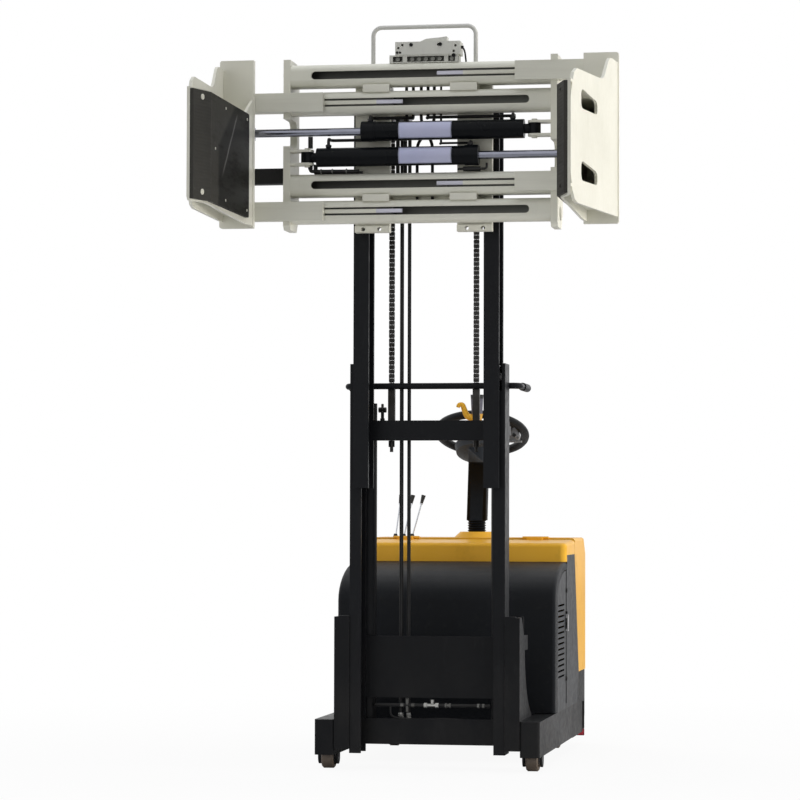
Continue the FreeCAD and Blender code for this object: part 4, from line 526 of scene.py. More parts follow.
def cylinder_gloss():
    r = Recipe("cylinder_gloss")
    cloud = r.ramp(r.noise(6.0, 4.0), 0.35, 0.7)
    base = r.mix(cloud, (0.0026, 0.0034, 0.0046), (0.0048, 0.0056, 0.0070))
    dust = r.ramp(r.noise(60.0, 5.0, 0.7), 0.58, 0.75)
    base = r.mix(dust * 0.08, base, (0.10, 0.095, 0.085))
    return r.finish(Base_Color=base, Roughness=0.24 + 0.1 * cloud + dust * 0.2,
                    Normal=r.bump(r.noise(90.0), 0.00015, 0.4), Specular_IOR_Level=0.10)


pad_black = pad_rubber()
cylinder_black = cylinder_gloss()
print("pad and cylinder finishes made")

# %% [markdown]
# ## Dressing the CAD nodes
# A node whose shape is right keeps its mesh and only takes a better finish. The record names a
# material slot for each node, so one table from slot to finish dresses most of them, and a second
# one holds the few nodes that differ from the rest of their slot.

# %% Assign finishes
FINISHES = {
    "frame_black": frame_black, "mast_black": mast_black, "cover_black": cover_black,
    "panel_grey": panel_grey, "hood_yellow": hood_amber, "battery_case": battery_case,
    "trim_black": trim_black, "grip_grey": grip_trim, "lever_steel": lever_steel,
    "bearing_steel": bearing_steel, "chain_steel": chain_steel, "hose_rubber": hose_black,
    "wheel_black": wheel_black, "tyre_tan": load_tan, "rod_chrome": rod_chrome,
    "clamp_cream": clamp_cream, "slide_steel": slide_cream, "cylinder_black": cylinder_black,
    "pad_rubber": pad_black,
}
SPECIAL = {
    "lift_rods": lift_chrome, "drive_wheel": drive_tan, "caster_wheel_right": caster_tan,
    "caster_wheel_left": caster_tan, "steering_column": head_trim, "guard_hoop": hoop_cream,
    "valve_block": valve_grey, "clamp_guides": guide_cream,
}
for part in frame["record"]["subparts"]:
    for slot in nodes[part["node"]].material_slots:
        slot.material = SPECIAL.get(part["node"], FINISHES[part["material_slot"]])
print("dressed", len(nodes), "nodes")

# %% [markdown]
# ## Shapes for the small parts
# Every added part is built from three moves: sweep a ring along a path, turn a profile round an
# axis, or push an outline through a thickness. Ready-made primitives could be added and edited, but
# these moves give rounded heads, bends and chamfers at once. `Shape` collects the points and faces
# of one piece. `at` takes millimetres from the outer mast's front face and gives metres.

# %% Places and outlines
MAST_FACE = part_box("outer_mast")[0][1]
ACROSS = Vector((1, 0, 0))
ALONG = Vector((0, 1, 0))
UP = Vector((0, 0, 1))


def at(x, y, z):
    return Vector((x / 1000, MAST_FACE + y / 1000, z / 1000))


def square_to(axis):
    """Two unit directions square to an axis."""
    side = UP if abs(axis.z) < 0.9 else ACROSS
    first = (side - axis * side.dot(axis)).normalized()
    return first, axis.cross(first)


def circle(centre, first, second, radius, sides):
    """Points round a centre, in the plane of two directions."""
    turns = [2 * math.pi * k / sides for k in range(sides)]
    return [centre + (first * math.cos(t) + second * math.sin(t)) * radius for t in turns]


def rectangle(x0, x1, z0, z1):
    """Corners of a rectangle, in order."""
    return [(x0, z0), (x1, z0), (x1, z1), (x0, z1)]


print("outer mast's front face at y", round(MAST_FACE, 4))

# %% The shape class
class Shape:
    """Points and faces of one piece, each face with the number of its material."""

    def __init__(self):
        self.points = []
        self.faces = []
        self.marks = []
        self.mark = 0

    def add(self, points, faces):
        first = len(self.points)
        self.points.extend(points)
        self.faces.extend([tuple(first + i for i in face) for face in faces])
        self.marks.extend([self.mark] * len(faces))

    def rings(self, rings, ends=True):
        """Skin over rings of points; a ring of one point closes to a tip."""
        points = [p for ring in rings for p in ring]
        starts = [sum(len(ring) for ring in rings[:i]) for i in range(len(rings))]
        faces = []
        for i, (a, b) in enumerate(zip(rings, rings[1:])):
            n = max(len(a), len(b))
            for k in range(n):
                j = (k + 1) % n
                if len(a) == 1:
                    faces.append((starts[i], starts[i + 1] + k, starts[i + 1] + j))
                elif len(b) == 1:
                    faces.append((starts[i] + k, starts[i] + j, starts[i + 1]))
                else:
                    faces.append((starts[i] + k, starts[i] + j, starts[i + 1] + j, starts[i + 1] + k))
        if ends:
            for ring, start in ((rings[0], starts[0]), (rings[-1], starts[-1])):
                if len(ring) > 2:
                    faces.append(tuple(start + k for k in range(len(ring))))
        self.add(points, faces)

    def tube(self, path, radius, sides=12):
        """Round tube along a path; radius is a number or one for each point."""
        radii = radius if isinstance(radius, list) else [radius] * len(path)
        rings = []
        first = None
        for i, point in enumerate(path):
            ahead = path[min(i + 1, len(path) - 1)] - path[max(i - 1, 0)]
            ahead = ahead.normalized()
            if first is None:
                first = square_to(ahead)[0]
            first = (first - ahead * first.dot(ahead)).normalized()
            rings.append(circle(point, first, ahead.cross(first), radii[i], sides))
        self.rings(rings)

    def turned(self, profile, centre, axis, sides=24):
        """Solid turned round an axis from (radius, offset) points."""
        first, second = square_to(axis)
        rings = []
        for radius, offset in profile:
            middle = centre + axis * offset
            rings.append(circle(middle, first, second, radius, sides) if radius > 1e-6 else [middle])
        looped = (Vector(profile[0]) - Vector(profile[-1])).length < 1e-6
        self.rings(rings, ends=not looped)

    def rod(self, place, axis, radius, length, sides=12):
        """Plain turned length, from a place along an axis."""
        self.turned([(0, 0), (radius, 0), (radius, length), (0, length)], place, axis, sides)

    def nut(self, place, axis, radius, shoulder, tip):
        """Hexagon with a chamfered end, from a place along an axis."""
        top = shoulder + 0.001
        self.turned([(0, 0), (radius, 0), (radius, shoulder), (tip, top), (0, top)], place, axis, 6)

    def washer(self, place, axis, inner, outer, thick, chamfer=0.0, sides=24):
        """Ring with a hole, from a place along an axis."""
        self.turned([(inner, 0), (outer, chamfer), (outer, thick - chamfer), (inner, thick), (inner, 0)],
                    place, axis, sides)

    def socket(self, place, axis, radius, height):
        """Round socket head with its recess."""
        self.turned([(0, 0), (radius, 0), (radius, height * 0.85), (radius * 0.9, height),
                     (radius * 0.55, height), (radius * 0.52, height * 0.35), (0, height * 0.35)],
                    place, axis, 18)

    def pushed(self, outline, origin, right, up, depth):
        """Outline of (right, up) points pushed through a depth, half of it each way."""
        through = right.cross(up).normalized() * (depth / 2)
        middle = [origin + right * a + up * b for a, b in outline]
        self.rings([[p - through for p in middle], [p + through for p in middle]])

    def bead(self, path, radius, step):
        """Weld bead: a ripple every few millimetres along straight runs of a path."""
        for a, b in zip(path, path[1:]):
            count = max(3, int((b - a).length / step))
            points = [a.lerp(b, i / count) for i in range(count + 1)]
            radii = [radius * (0.86 + 0.16 * (i % 2) + 0.06 * math.sin(i * 1.7)) for i in range(count + 1)]
            self.tube(points, radii, 6)

    def made(self, name, body, materials, bevel=0.0, sharp=35.0, weld=False):
        """The piece as an object that rides on a body."""
        mesh = bpy.data.meshes.new(name)
        mesh.from_pydata(self.points, [], self.faces)
        for material in materials:
            mesh.materials.append(material)
        for face, mark in zip(mesh.polygons, self.marks):
            face.material_index = mark
        work = bmesh.new()
        work.from_mesh(mesh)
        if weld:
            bmesh.ops.remove_doubles(work, verts=work.verts, dist=1e-6)
            bmesh.ops.delete(work, geom=[f for f in work.faces if f.calc_area() < 1e-12], context="FACES")
        bmesh.ops.recalc_face_normals(work, faces=work.faces)
        if bevel:
            hard = [e for e in work.edges if e.is_manifold and e.calc_face_angle() > math.radians(30)]
            bmesh.ops.bevel(work, geom=hard, offset=bevel, segments=2, profile=0.6, affect="EDGES",
                            clamp_overlap=True)
        work.to_mesh(mesh)
        work.free()
        mesh.shade_smooth()
        mesh.set_sharp_from_angle(angle=math.radians(sharp))
        piece = bpy.data.objects.new(name, mesh)
        bpy.context.scene.collection.objects.link(piece)
        if body:
            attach(piece, body)
        count = sum(len(face.vertices) - 2 for face in mesh.polygons)
        print(name, "on", body or "two bodies", "with", count, "triangles")
        return piece


# %% Curves through corners
def smooth_path(corners, per_run=8):
    """Points on a soft curve through a few corners."""
    points = []
    n = len(corners)
    for i in range(n - 1):
        a, b = corners[max(i - 1, 0)], corners[i]
        c, d = corners[i + 1], corners[min(i + 2, n - 1)]
        for k in range(per_run):
            t = k / per_run
            points.append(0.5 * ((2 * b) + (c - a) * t + (2 * a - 5 * b + 4 * c - d) * t * t
                                 + (3 * b - a - 3 * c + d) * t ** 3))
    points.append(corners[-1])
    return points


def bent(corners, bend, steps=6):
    """Straight runs with a curve of a given reach at each corner."""
    points = [corners[0]]
    for before, corner, after in zip(corners, corners[1:], corners[2:]):
        reach = min(bend, (corner - before).length / 2, (after - corner).length / 2)
        start = corner + (before - corner).normalized() * reach
        end = corner + (after - corner).normalized() * reach
        for k in range(steps + 1):
            t = k / steps
            points.append(start.lerp(corner, t).lerp(corner.lerp(end, t), t))
    points.append(corners[-1])
    return points


# %% [markdown]
# ## Leaf chains
# A leaf chain is plates on rivets, laced four and three wide in turn. An array along a curve would
# repeat one link, but the lacing changes from link to link, so each plate is pushed out of its own
# outline between two rivets. Each strand runs from its anchor to the sheave.

# %% Chains
LINK = 0.015875
CHAIN_WIDTH = 0.0195
PLATE_HALF = 0.0047
PLATE_STEP = CHAIN_WIDTH / 7
PLATE_THICK = PLATE_STEP * 0.94
PLATE_WAIST = 0.72
RIVET_R = 0.0026
RIVET_HALF = CHAIN_WIDTH / 2 + 0.0008
RIVET_CHAMFER = 0.0008


def link_outline(length):
    """Side view of one plate: two round ends and a waist between them."""
    outline = []
    for start, first_turn, waist in ((length, -90, PLATE_WAIST), (0, 90, -PLATE_WAIST)):
        for k in range(7):
            turn = math.radians(first_turn + 30 * k)
            outline.append((start + PLATE_HALF * 1.5 * math.cos(turn), PLATE_HALF * math.sin(turn)))
        outline.append((length / 2, PLATE_HALF * waist))
    return outline


def links(shape, x, pins):
    """Laced plates through a row of rivet centres, with the rivets."""
    for i, (a, b) in enumerate(zip(pins, pins[1:])):
        along = (b - a).normalized()
        side = ACROSS.cross(along)
        outline = link_outline((b - a).length)
        for step in ((-3, -1, 1, 3) if i % 2 == 0 else (-2, 0, 2)):
            shape.pushed(outline, a + ACROSS * (x + step * PLATE_STEP), along, side, PLATE_THICK)
    tip = RIVET_R - RIVET_CHAMFER
    flank = RIVET_HALF - RIVET_CHAMFER
    for pin in pins:
        shape.turned([(0, -RIVET_HALF), (tip, -RIVET_HALF), (RIVET_R, -flank), (RIVET_R, flank),
                      (tip, RIVET_HALF), (0, RIVET_HALF)], pin + ACROSS * x, ACROSS, 8)


def strand(name, node):
    """Both chains' straight runs on one side of the sheaves; gives their place along the truck."""
    low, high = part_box(node)
    y = (low[1] + high[1]) / 2
    count = round((high[2] - low[2]) / LINK)
    pins = [Vector((0, y, low[2] + (high[2] - low[2]) * i / count)) for i in range(count + 1)]
    out = high[0] - 0.010
    shape = Shape()
    for x in (-out, out):
        links(shape, x, pins)
    piece = shape.made(name, None, [chain_steel])
    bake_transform(piece)
    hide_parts(node)
    return y


rear_y = strand("leaf_chain_rear", "chains_rear")
front_y = strand("leaf_chain_front", "chains_front")

# %% [markdown]
# ## Hoses up the mast
# Two hydraulic hoses run up from the manifold, over their own sheave, and down to the carriage. Each
# ends in a crimped collar on a hexagon fitting. A curve with a round section would do for the cover,
# but on the truck the hose draws out as the mast rises, so it is a tube with many rings along it.

# %% Hoses
CHAIN_OUT = (rear_y - front_y) / 2
HOSES = ((-0.116, 0.0072), (-0.089, 0.0066))
HOSE_SHEAVE_R = CHAIN_OUT - 0.005
HOSE_SIDES = 14
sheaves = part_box("chain_sheaves")
hub = Vector((0, (sheaves[0][1] + sheaves[1][1]) / 2, (sheaves[0][2] + sheaves[1][2]) / 2))


def hose_end(shape, place, radius):
    """Hexagon fitting and crimped collar, standing up from where the hose starts."""
    shape.turned([(0, 0), (radius * 1.75, 0), (radius * 1.75, 0.009), (radius * 1.5, 0.011), (0, 0.011)],
                 place, UP, 6)
    collar = [(0, 0.010), (radius * 1.3, 0.010)]
    for k in range(5):
        z = 0.012 + k * 0.006
        collar += [(radius * 1.42, z), (radius * 1.42, z + 0.0035), (radius * 1.28, z + 0.0045)]
    shape.turned(collar + [(radius * 1.1, 0.044), (0, 0.044)], place, UP, 20)


def hose_strand(name, node, side):
    low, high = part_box(node)
    shape = Shape()
    for x, radius in HOSES:
        y = hub.y + side * (HOSE_SHEAVE_R + radius)
        path = [Vector((x, y, low[2] + (high[2] - low[2]) * i / 60)) for i in range(61)]
        shape.mark = 0
        shape.tube(path, radius, HOSE_SIDES)
        shape.mark = 1
        hose_end(shape, Vector((x, y, low[2])), radius)
    piece = shape.made(name, None, [hose_black, bolt_zinc])
    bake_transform(piece)
    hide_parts(node)


hose_strand("lift_hose_rear", "hoses_rear", 1)
hose_strand("lift_hose_front", "hoses_front", -1)

# %% [markdown]
# ## Over the sheaves
# The half turns of the chains and hoses belong to the rising mast alone, so they are one piece that
# rides on it. They start where the strands end, at the same distance from the hub.

# %% Half turns
def half_turn(x, radius, steps):
    """Points over the top of a sheave, from its back to its front."""
    turns = [math.pi * i / steps for i in range(steps + 1)]
    return [hub + Vector((x, radius * math.cos(t), radius * math.sin(t))) for t in turns]


shape = Shape()
for x in (-0.152, 0.152):
    links(shape, x, half_turn(0, CHAIN_OUT, 9))
shape.mark = 1
for x, radius in HOSES:
    shape.tube(half_turn(x, HOSE_SHEAVE_R + 0.0003 + radius, 24), radius, HOSE_SIDES)
turns = shape.made("chains_over_sheaves", "mast_stage", [chain_steel, hose_black])
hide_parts("chain_turns")

# %% [markdown]
# ## Trimmed and smoothed copies
# A few nodes are nearly right. The arms' outer plates carry a small ledge that the real ones lack,
# the dish under the wheel is too wide, and the cover's roll shows its facets. A node's own mesh is
# left alone: a copy of it is cut with a block or shaded smooth, and stands for the node.

# %% Copies of nodes
def copied(node, name, body, cutter=None, soft=0.0):
    """Copy of a node that stands for it, with an optional block cut away and soft edges."""
    piece = bpy.data.objects.new(name, nodes[node].data.copy())
    bpy.context.scene.collection.objects.link(piece)
    work = bmesh.new()
    work.from_mesh(piece.data)
    bmesh.ops.remove_doubles(work, verts=work.verts, dist=1e-6)
    work.to_mesh(piece.data)
    work.free()
    if cutter:
        trim = piece.modifiers.new("trim", "BOOLEAN")
        trim.operation = "DIFFERENCE"
        trim.solver = "EXACT"
        trim.object = cutter
        ready = piece.evaluated_get(bpy.context.evaluated_depsgraph_get())
        mesh = bpy.data.meshes.new_from_object(ready)
        piece.modifiers.clear()
        piece.data = mesh
        bpy.data.objects.remove(cutter)
    if soft:
        piece.data.shade_smooth()
        piece.data.set_sharp_from_angle(angle=math.radians(soft))
    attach(piece, body)
    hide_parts(node)
    print(name, "has", len(piece.data.polygons), "faces")


LEDGE_PLAN = ((623.7, -986), (631.5, -899), (666, -899), (666, -986))
LEDGE_HEIGHTS = (1880, 1913)
for arm, side in (("right", 1), ("left", -1)):
    ledge = Shape()
    ledge.rings([[at(side * x, y, z) for x, y in LEDGE_PLAN] for z in LEDGE_HEIGHTS])
    copied(arm + "_arm_frame", arm + "_arm_weldment", arm + "_arm", ledge.made(arm + "_ledge", None, []))
copied("front_cover", "front_cover_skin", "chassis", soft=24.0)

# %% [markdown]
# ## Steering wheel
# The wheel is a thick moulded ring on three spokes. A torus has an even round section, and this grip
# is a little flat, so its section is turned round the axis instead. The node gives the centre and
# the tilt: a tilted ring is as deep as its two radii allow, so its box tells the angle.

# %% Steering wheel
low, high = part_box("steering_wheel")
centre = (Vector(low) + Vector(high)) / 2
OUTER_R = high[0]
NODE_GRIP_R = 0.013
GRIP_R = 0.0172
GRIP_FLATNESS = 0.92
SPOKE_R = 0.0095
ring_r = OUTER_R - GRIP_R - 0.0003
tilt = math.acos(((high[1] - low[1]) / 2 - NODE_GRIP_R) / (OUTER_R - NODE_GRIP_R))
axis = Vector((0, math.sin(tilt), math.cos(tilt)))
down = axis.cross(ACROSS)
shape = Shape()
grip_section = []
for k in range(17):
    turn = math.pi * k / 8
    grip_section.append((ring_r + GRIP_R * math.cos(turn), GRIP_FLATNESS * GRIP_R * math.sin(turn)))
shape.turned(grip_section, centre, axis, 72)
shape.turned([(0, -0.050), (0.046, -0.050), (0.046, -0.044), (0.036, -0.012), (0.030, -0.009), (0, -0.009)],
             centre, axis, 36)
hub_face = centre - axis * 0.030
for turn in (90, 210, 330):
    out = ACROSS * math.cos(math.radians(turn)) + down * math.sin(math.radians(turn))
    path = smooth_path([hub_face + out * 0.026, hub_face + out * 0.060, centre - axis * 0.012 + out * 0.125,
                        centre + out * (ring_r - 0.004)])
    last = len(path) - 1
    shape.tube(path, [SPOKE_R - 0.0015 * math.sin(math.pi * i / last) for i in range(len(path))])
ring = shape.made("wheel_ring", "steering", [wheel_black], weld=True)
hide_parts("steering_wheel")
print("wheel", round(2 * OUTER_R, 3), "m across, tilted", round(math.degrees(tilt), 1), "degrees")

# %% [markdown]
# ## Dish, grip bracket and hook
# The dish below the wheel is cut back with a turned ring on the wheel's axis. A flat bracket screwed
# under it carries the control grip, and an amber hook curls out beside the grip, thinner to its end.

# %% Dish
DISH_R = 0.106
DISH_DROP = 0.060
shape = Shape()
shape.turned([(DISH_R, 0.012), (0.170, 0.012), (0.170, -0.060), (DISH_R - 0.020, -0.060), (DISH_R, 0.012)],
             centre - axis * DISH_DROP, axis, 64)
cutter = shape.made("dish_ring", None, [], weld=True)
copied("steering_column", "steering_post", "chassis", cutter, soft=30.0)

# %% Grip bracket and hook
shape = Shape()
outline = [(-0.034, 0.085), (0.058, 0.085), (0.046, 0.158), (-0.020, 0.158)]
shape.pushed(outline, centre - axis * (DISH_DROP + 0.006), ACROSS, -down, 0.0130)
for x in (-0.006, 0.034):
    shape.socket(centre - axis * DISH_DROP - down * 0.116 + ACROSS * x, axis, 0.0045, 0.0035)
shape.made("grip_bracket", "chassis", [head_trim], bevel=0.002)
shape = Shape()
hook = smooth_path([at(2, 1116, 1268), at(-24, 1116, 1274), at(-36, 1116, 1296), at(-44, 1114, 1317),
                    at(-57, 1112, 1318), at(-62, 1112, 1308)], 6)
last = len(hook) - 1
shape.tube(hook, [0.0140 - 0.0070 * i / last for i in range(len(hook))], 14)
shape.made("grip_hook", "chassis", [hood_amber])

# %% [markdown]
# ## Instrument pod
# A small moulded case stands by the wheel, with three round buttons and a pale key ring. Its two
# outlines are pushed through, and one bevel takes the sharpness off all their edges.

# %% Instrument pod
shape = Shape()
foot = [(-0.034, -0.016), (0.034, -0.016), (0.034, 0.012), (0.024, 0.020), (-0.024, 0.020), (-0.034, 0.012)]
shape.pushed(foot, at(128, 1300, 1180), ACROSS, ALONG, 0.007)
case = [(-0.026, -0.026), (0.026, -0.026), (0.030, -0.010), (0.024, 0.020), (0.010, 0.029), (-0.018, 0.029),
        (-0.028, 0.018)]
shape.pushed(case, at(124, 1303, 1210), ACROSS, UP, 0.030)
shape.mark = 1
for x, z, radius in ((114, 1212, 0.0085), (134, 1206, 0.0085), (122, 1226, 0.0050)):
    shape.socket(at(x, 1288, z), -ALONG, radius, 0.004)
shape.mark = 2
shape.washer(at(148, 1284, 1196), -ALONG, 0.0060, 0.0090, 0.006, chamfer=0.001)
shape.made("instrument_pod", "chassis", [pod_grey, guard_black, handle_pale], bevel=0.0015)

# %% [markdown]
# ## Wear strips on the clamp slides
# Each slide carries a raised strip that shows in the guide's slot, painted outside and polished at its
# inner end, with grease and painted shade in the grooves above and below. It is one outline with
# chamfered front edges, pushed along the slide, and the two-part slide finish colours it.

# %% Wear strips
STRIP_END = 0.060
STRIP_DEPTH = 0.0082
STRIP_LIFT = 0.0005


def wear_strips(arm, side):
    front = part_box("clamp_guides")[0][1]
    outline = [(-0.0070, -0.0045), (-0.0055, -0.0060), (0.0055, -0.0060), (0.0070, -0.0045),
               (0.0070, 0.0045), (-0.0070, 0.0045)]
    shape = Shape()
    for centre in slide_rows(arm):
        middle = Vector((side * (STRIP_END + SLEEVE_END) / 2, front + STRIP_DEPTH, centre + STRIP_LIFT))
        shape.pushed(outline, middle, UP, ALONG, SLEEVE_END - STRIP_END)
    shape.made(arm + "_wear_strips", arm + "_arm", [strip_steel], bevel=0.0006)


wear_strips("right", 1)
wear_strips("left", -1)

# %% [markdown]
# ## Plain stickers
# Both clamp cylinders carry a wrap-round sticker near the middle, left blank here. A mask in the
# paint would colour it, but a real sheet has an edge that catches light, so it is a sheet a third of
# a millimetre thick, rolled round the barrel, with a slightly darker border.

# %% Stickers
STICKER_X = (-72, 113)
STICKER_R = 0.03305
STICKER_THICK = 0.0003
BARREL_Y = at(0, -165, 0).y
BARREL_RISE = 0.0355


def sticker(name, node):
    """Rolled sheet on the front of a barrel; the cylinder's node gives its axis."""
    axis_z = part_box(node)[0][2] + BARREL_RISE
    shape = Shape()
    for inset, lift in ((0, 0.0), (4, 0.0002)):
        half = math.radians(57 - 2 * inset)
        x0, x1 = (STICKER_X[0] + inset) / 1000, (STICKER_X[1] - inset) / 1000
        outer = STICKER_R + STICKER_THICK + lift
        rings = []
        for k in range(25):
            turn = half * (k / 12 - 1)
            rings.append([Vector((x, BARREL_Y - radius * math.cos(turn), axis_z + radius * math.sin(turn)))
                          for radius, x in ((STICKER_R, x0), (STICKER_R, x1), (outer, x1), (outer, x0))])
        shape.mark = 1 if inset else 0
        shape.rings(rings)
    shape.made(name, "carriage", [label_border, label_white], sharp=30)


sticker("sticker_upper", "clamp_cylinder_left")
sticker("sticker_lower", "clamp_cylinder_right")

# %% [markdown]
# ## Screws on the pads and the valve
# The pads are held by flat screws, two large ones on the flared lead-in and small ones along the
# face. The valve block carries cap screws, and a thin drain pipe leaves its right end. Every head is
# the same turned profile with a recess, at its own size.

# %% Pad screws
FACE_X = 565
FLARE_X = 581.8
FLARE_Y = -962
SMALL_SCREWS = ((-700, 2241), (-380, 2245), (-850, 2090), (-700, 1935), (-380, 1933))


def pad_screws(arm, side, large, material):
    flare = Vector((-side * 0.948, -0.319, 0))
    shape = Shape()
    for z in (2245, 1937):
        shape.socket(at(side * FLARE_X, FLARE_Y, z), flare, large, 0.0022)
    for y, z in SMALL_SCREWS:
        shape.socket(at(side * FACE_X, y, z), Vector((-side, 0, 0)), 0.0045, 0.0018)
    shape.made(arm + "_pad_screws", arm + "_arm", [material])


pad_screws("left", -1, 0.0095, clamp_cream)
pad_screws("right", 1, 0.0060, chain_steel)

# %% Valve screws and drain pipe
VALVE_FACE = -176
shape = Shape()
for x, z, radius in ((-31, 2520, 0.0065), (71, 2520, 0.0065), (-80, 2494, 0.0045), (118, 2481, 0.0065)):
    shape.socket(at(x, VALVE_FACE, z), -ALONG, radius, 0.003)
drain = smooth_path([at(138, -150, 2512), at(147, -150, 2509), at(153, -150, 2496), at(156, -152, 2478),
                     at(158, -152, 2460)])
shape.tube(drain, 0.0030, 10)
shape.nut(at(138, -150, 2512), ACROSS, 0.0055, 0.010, 0.0045)
shape.made("valve_screws", "carriage", [guard_black])

# %% [markdown]
# ## Steel pipes to the clamp cylinders
# Rigid pipes drop from the back of the valve, behind the guides, and come forward to a port on each
# cylinder. Fitters bend such a pipe cold: straight runs with a tangent bend at every corner. So each
# pipe is a short list of corners, and `bent` rounds them.

# %% Clamp pipes
PIPE_R = 0.0055
THIN_PIPE_R = 0.004
PORTS = ((-62, -323, 2135, 2200, PIPE_R), (-38, -175, 2223, 2275, PIPE_R), (14, 323, 2223, 2275, PIPE_R),
         (60, 175, 2135, 2184, THIN_PIPE_R))
shape = Shape()
for leaves, port, axis_z, run_z, radius in PORTS:
    corners = [at(leaves, -106, 2468), at(leaves, -84, 2468), at(leaves, -84, run_z),
               at(leaves, -114, run_z), at(port, -114, run_z), at(port, -165, run_z),
               at(port, -165, axis_z + 40)]
    shape.tube(bent(corners, 0.014), radius)
    shape.nut(at(port, -165, axis_z + 43.5), -UP, 0.0105, 0.007, 0.0085)
for leaves, lands in ((-10, 30), (36, -24)):
    corners = [at(leaves, -106, 2468), at(leaves, -84, 2468), at(leaves, -84, 2262), at(lands, -84, 2186),
               at(lands, -84, 1996), at(lands, -60, 1980)]
    shape.tube(bent(corners, 0.020), PIPE_R)
shape.made("clamp_pipes", "carriage", [hose_black])

# %% [markdown]
# ## Bridges between the guides
# Blocks join each pair of guides. Their faces lie almost flush with the guides' fronts, and are just
# low enough for the slides' cheeks to pass above and below, so their height is worked out from the
# slides and one named clearance.

# %% Bridge faces
PASSING = 0.0012
BRIDGE_OUT = 0.153
BRIDGE_HALF = 0.047
rows = [slide_rows("right"), slide_rows("left")]
shape = Shape()
for upper, lower in zip(*rows):
    half = (upper - lower) / 2 - CHEEK_HALF - PASSING
    outline = rectangle(-BRIDGE_HALF, BRIDGE_HALF, -half, half)
    for side in (-1, 1):
        middle = Vector((side * BRIDGE_OUT, at(0, -175, 0).y, (upper + lower) / 2))
        shape.pushed(outline, middle, ACROSS, UP, 0.0150)
shape.made("bridge_faces", "carriage", [clamp_cream], bevel=0.0015)

# %% [markdown]
# ## Hydraulics at the mast's foot
# A steel pipe joins the two lift cylinders behind the shield. Zinc unions and a tee sit on it, each
# a turned body between two hexagons. A bleed fitting of the same kind stands on the left column.

# %% Lift pipe and unions
def union(shape, x0, x1, y, z, radius):
    """Turned body between two hexagon nuts, along the pipe."""
    length = (x1 - x0) / 1000
    nut = min(0.011, length * 0.3)
    start = at(x0, y, z)
    shape.nut(start, ACROSS, radius, nut, radius * 0.8)
    shape.rod(start + ACROSS * nut, ACROSS, radius * 0.72, length - 2 * nut, 20)
    shape.rod(start + ACROSS * (length - nut), ACROSS, radius, nut, 6)


PIPE_Y = 126
PIPE_Z = 222
shape = Shape()
shape.tube([at(-206, PIPE_Y, PIPE_Z), at(206, PIPE_Y, PIPE_Z)], 0.0060, 14)
shape.tube(bent([at(-150, PIPE_Y, PIPE_Z), at(-150, 120, 180), at(-60, 118, 172), at(40, 118, 176),
                 at(120, 120, 172)], 0.03), 0.0040, 10)
shape.mark = 1
for x0, x1, radius in ((-190, -168, 0.0050), (-114, -64, 0.0075), (45, 66, 0.0085), (160, 186, 0.0080)):
    union(shape, x0, x1, PIPE_Y, PIPE_Z, radius)
shape.turned([(0, -0.024), (0.0060, -0.024), (0.0060, 0.022), (0.004, 0.025), (0, 0.025)],
             at(-90, PIPE_Y, PIPE_Z + 1), UP, 6)
shape.mark = 2
union(shape, -30, 22, PIPE_Y, PIPE_Z, 0.0085)
shape.rod(at(0, PIPE_Y, PIPE_Z + 6), UP, 0.006, 0.014, 6)
shape.made("lift_pipe", "chassis", [hose_black, dull_zinc, bolt_zinc])

# %% Bleed fitting
BLEED = at(-192, 183, 1227)
shape = Shape()
shape.turned([(0, 0), (0.0085, 0), (0.0085, 0.010), (0.006, 0.012), (0.006, 0.034), (0, 0.034)],
             BLEED, UP, 12)
union(shape, -206, -178, 183, 1268, 0.0095)
shape.mark = 1
shape.turned([(0, 0.034), (0.0050, 0.034), (0.0050, 0.060), (0.0035, 0.063), (0, 0.063)], BLEED, UP, 12)
shape.made("bleed_fitting", "chassis", [hose_black, dull_zinc])

# %% [markdown]
# ## Small fittings on the clamp
# Dark pipes with bright rings serve the lower cylinder from below, and three stop screws sit on the
# top guide. They are the same bent tubes, rods and rings as before.

# %% Clamp fittings
shape = Shape()
shape.tube(bent([at(-388, -160, 2112), at(-388, -160, 2088), at(-215, -160, 2086)], 0.008), 0.0062)
shape.tube(bent([at(-372, -148, 2112), at(-372, -148, 2080), at(-205, -148, 2080)], 0.010), 0.0075)
shape.rod(at(-388, -160, 2095), UP, 0.0085, 0.018, 6)
shape.rod(at(-388, -160, 2168), UP, 0.0085, 0.040)
shape.tube(bent([at(130, -160, 2088), at(232, -160, 2088), at(232, -160, 2108)], 0.010), 0.0042, 10)
shape.rod(at(150, -160, 2088), ACROSS, 0.0085, 0.060, 6)
for x in (-330, -300, -282):
    shape.rod(at(x, -150, 2453), UP, 0.0055, 0.006)
shape.mark = 1
for x in (-352, -312, -262):
    shape.washer(at(x, -160, 2087), ACROSS, 0.0060, 0.0088, 0.004, sides=16)
shape.made("clamp_fittings", "carriage", [hose_black, dull_zinc])

# %% [markdown]
# ## Body trim
# The side panels meet at an upright seam with a pale pull handle and two catches. The seam is a dark
# strip that paints the shade of a groove, with a lighter lip beside it, because a groove could not be
# cut without changing the panels.
# Black guards wrap the rear corners above a red strip.

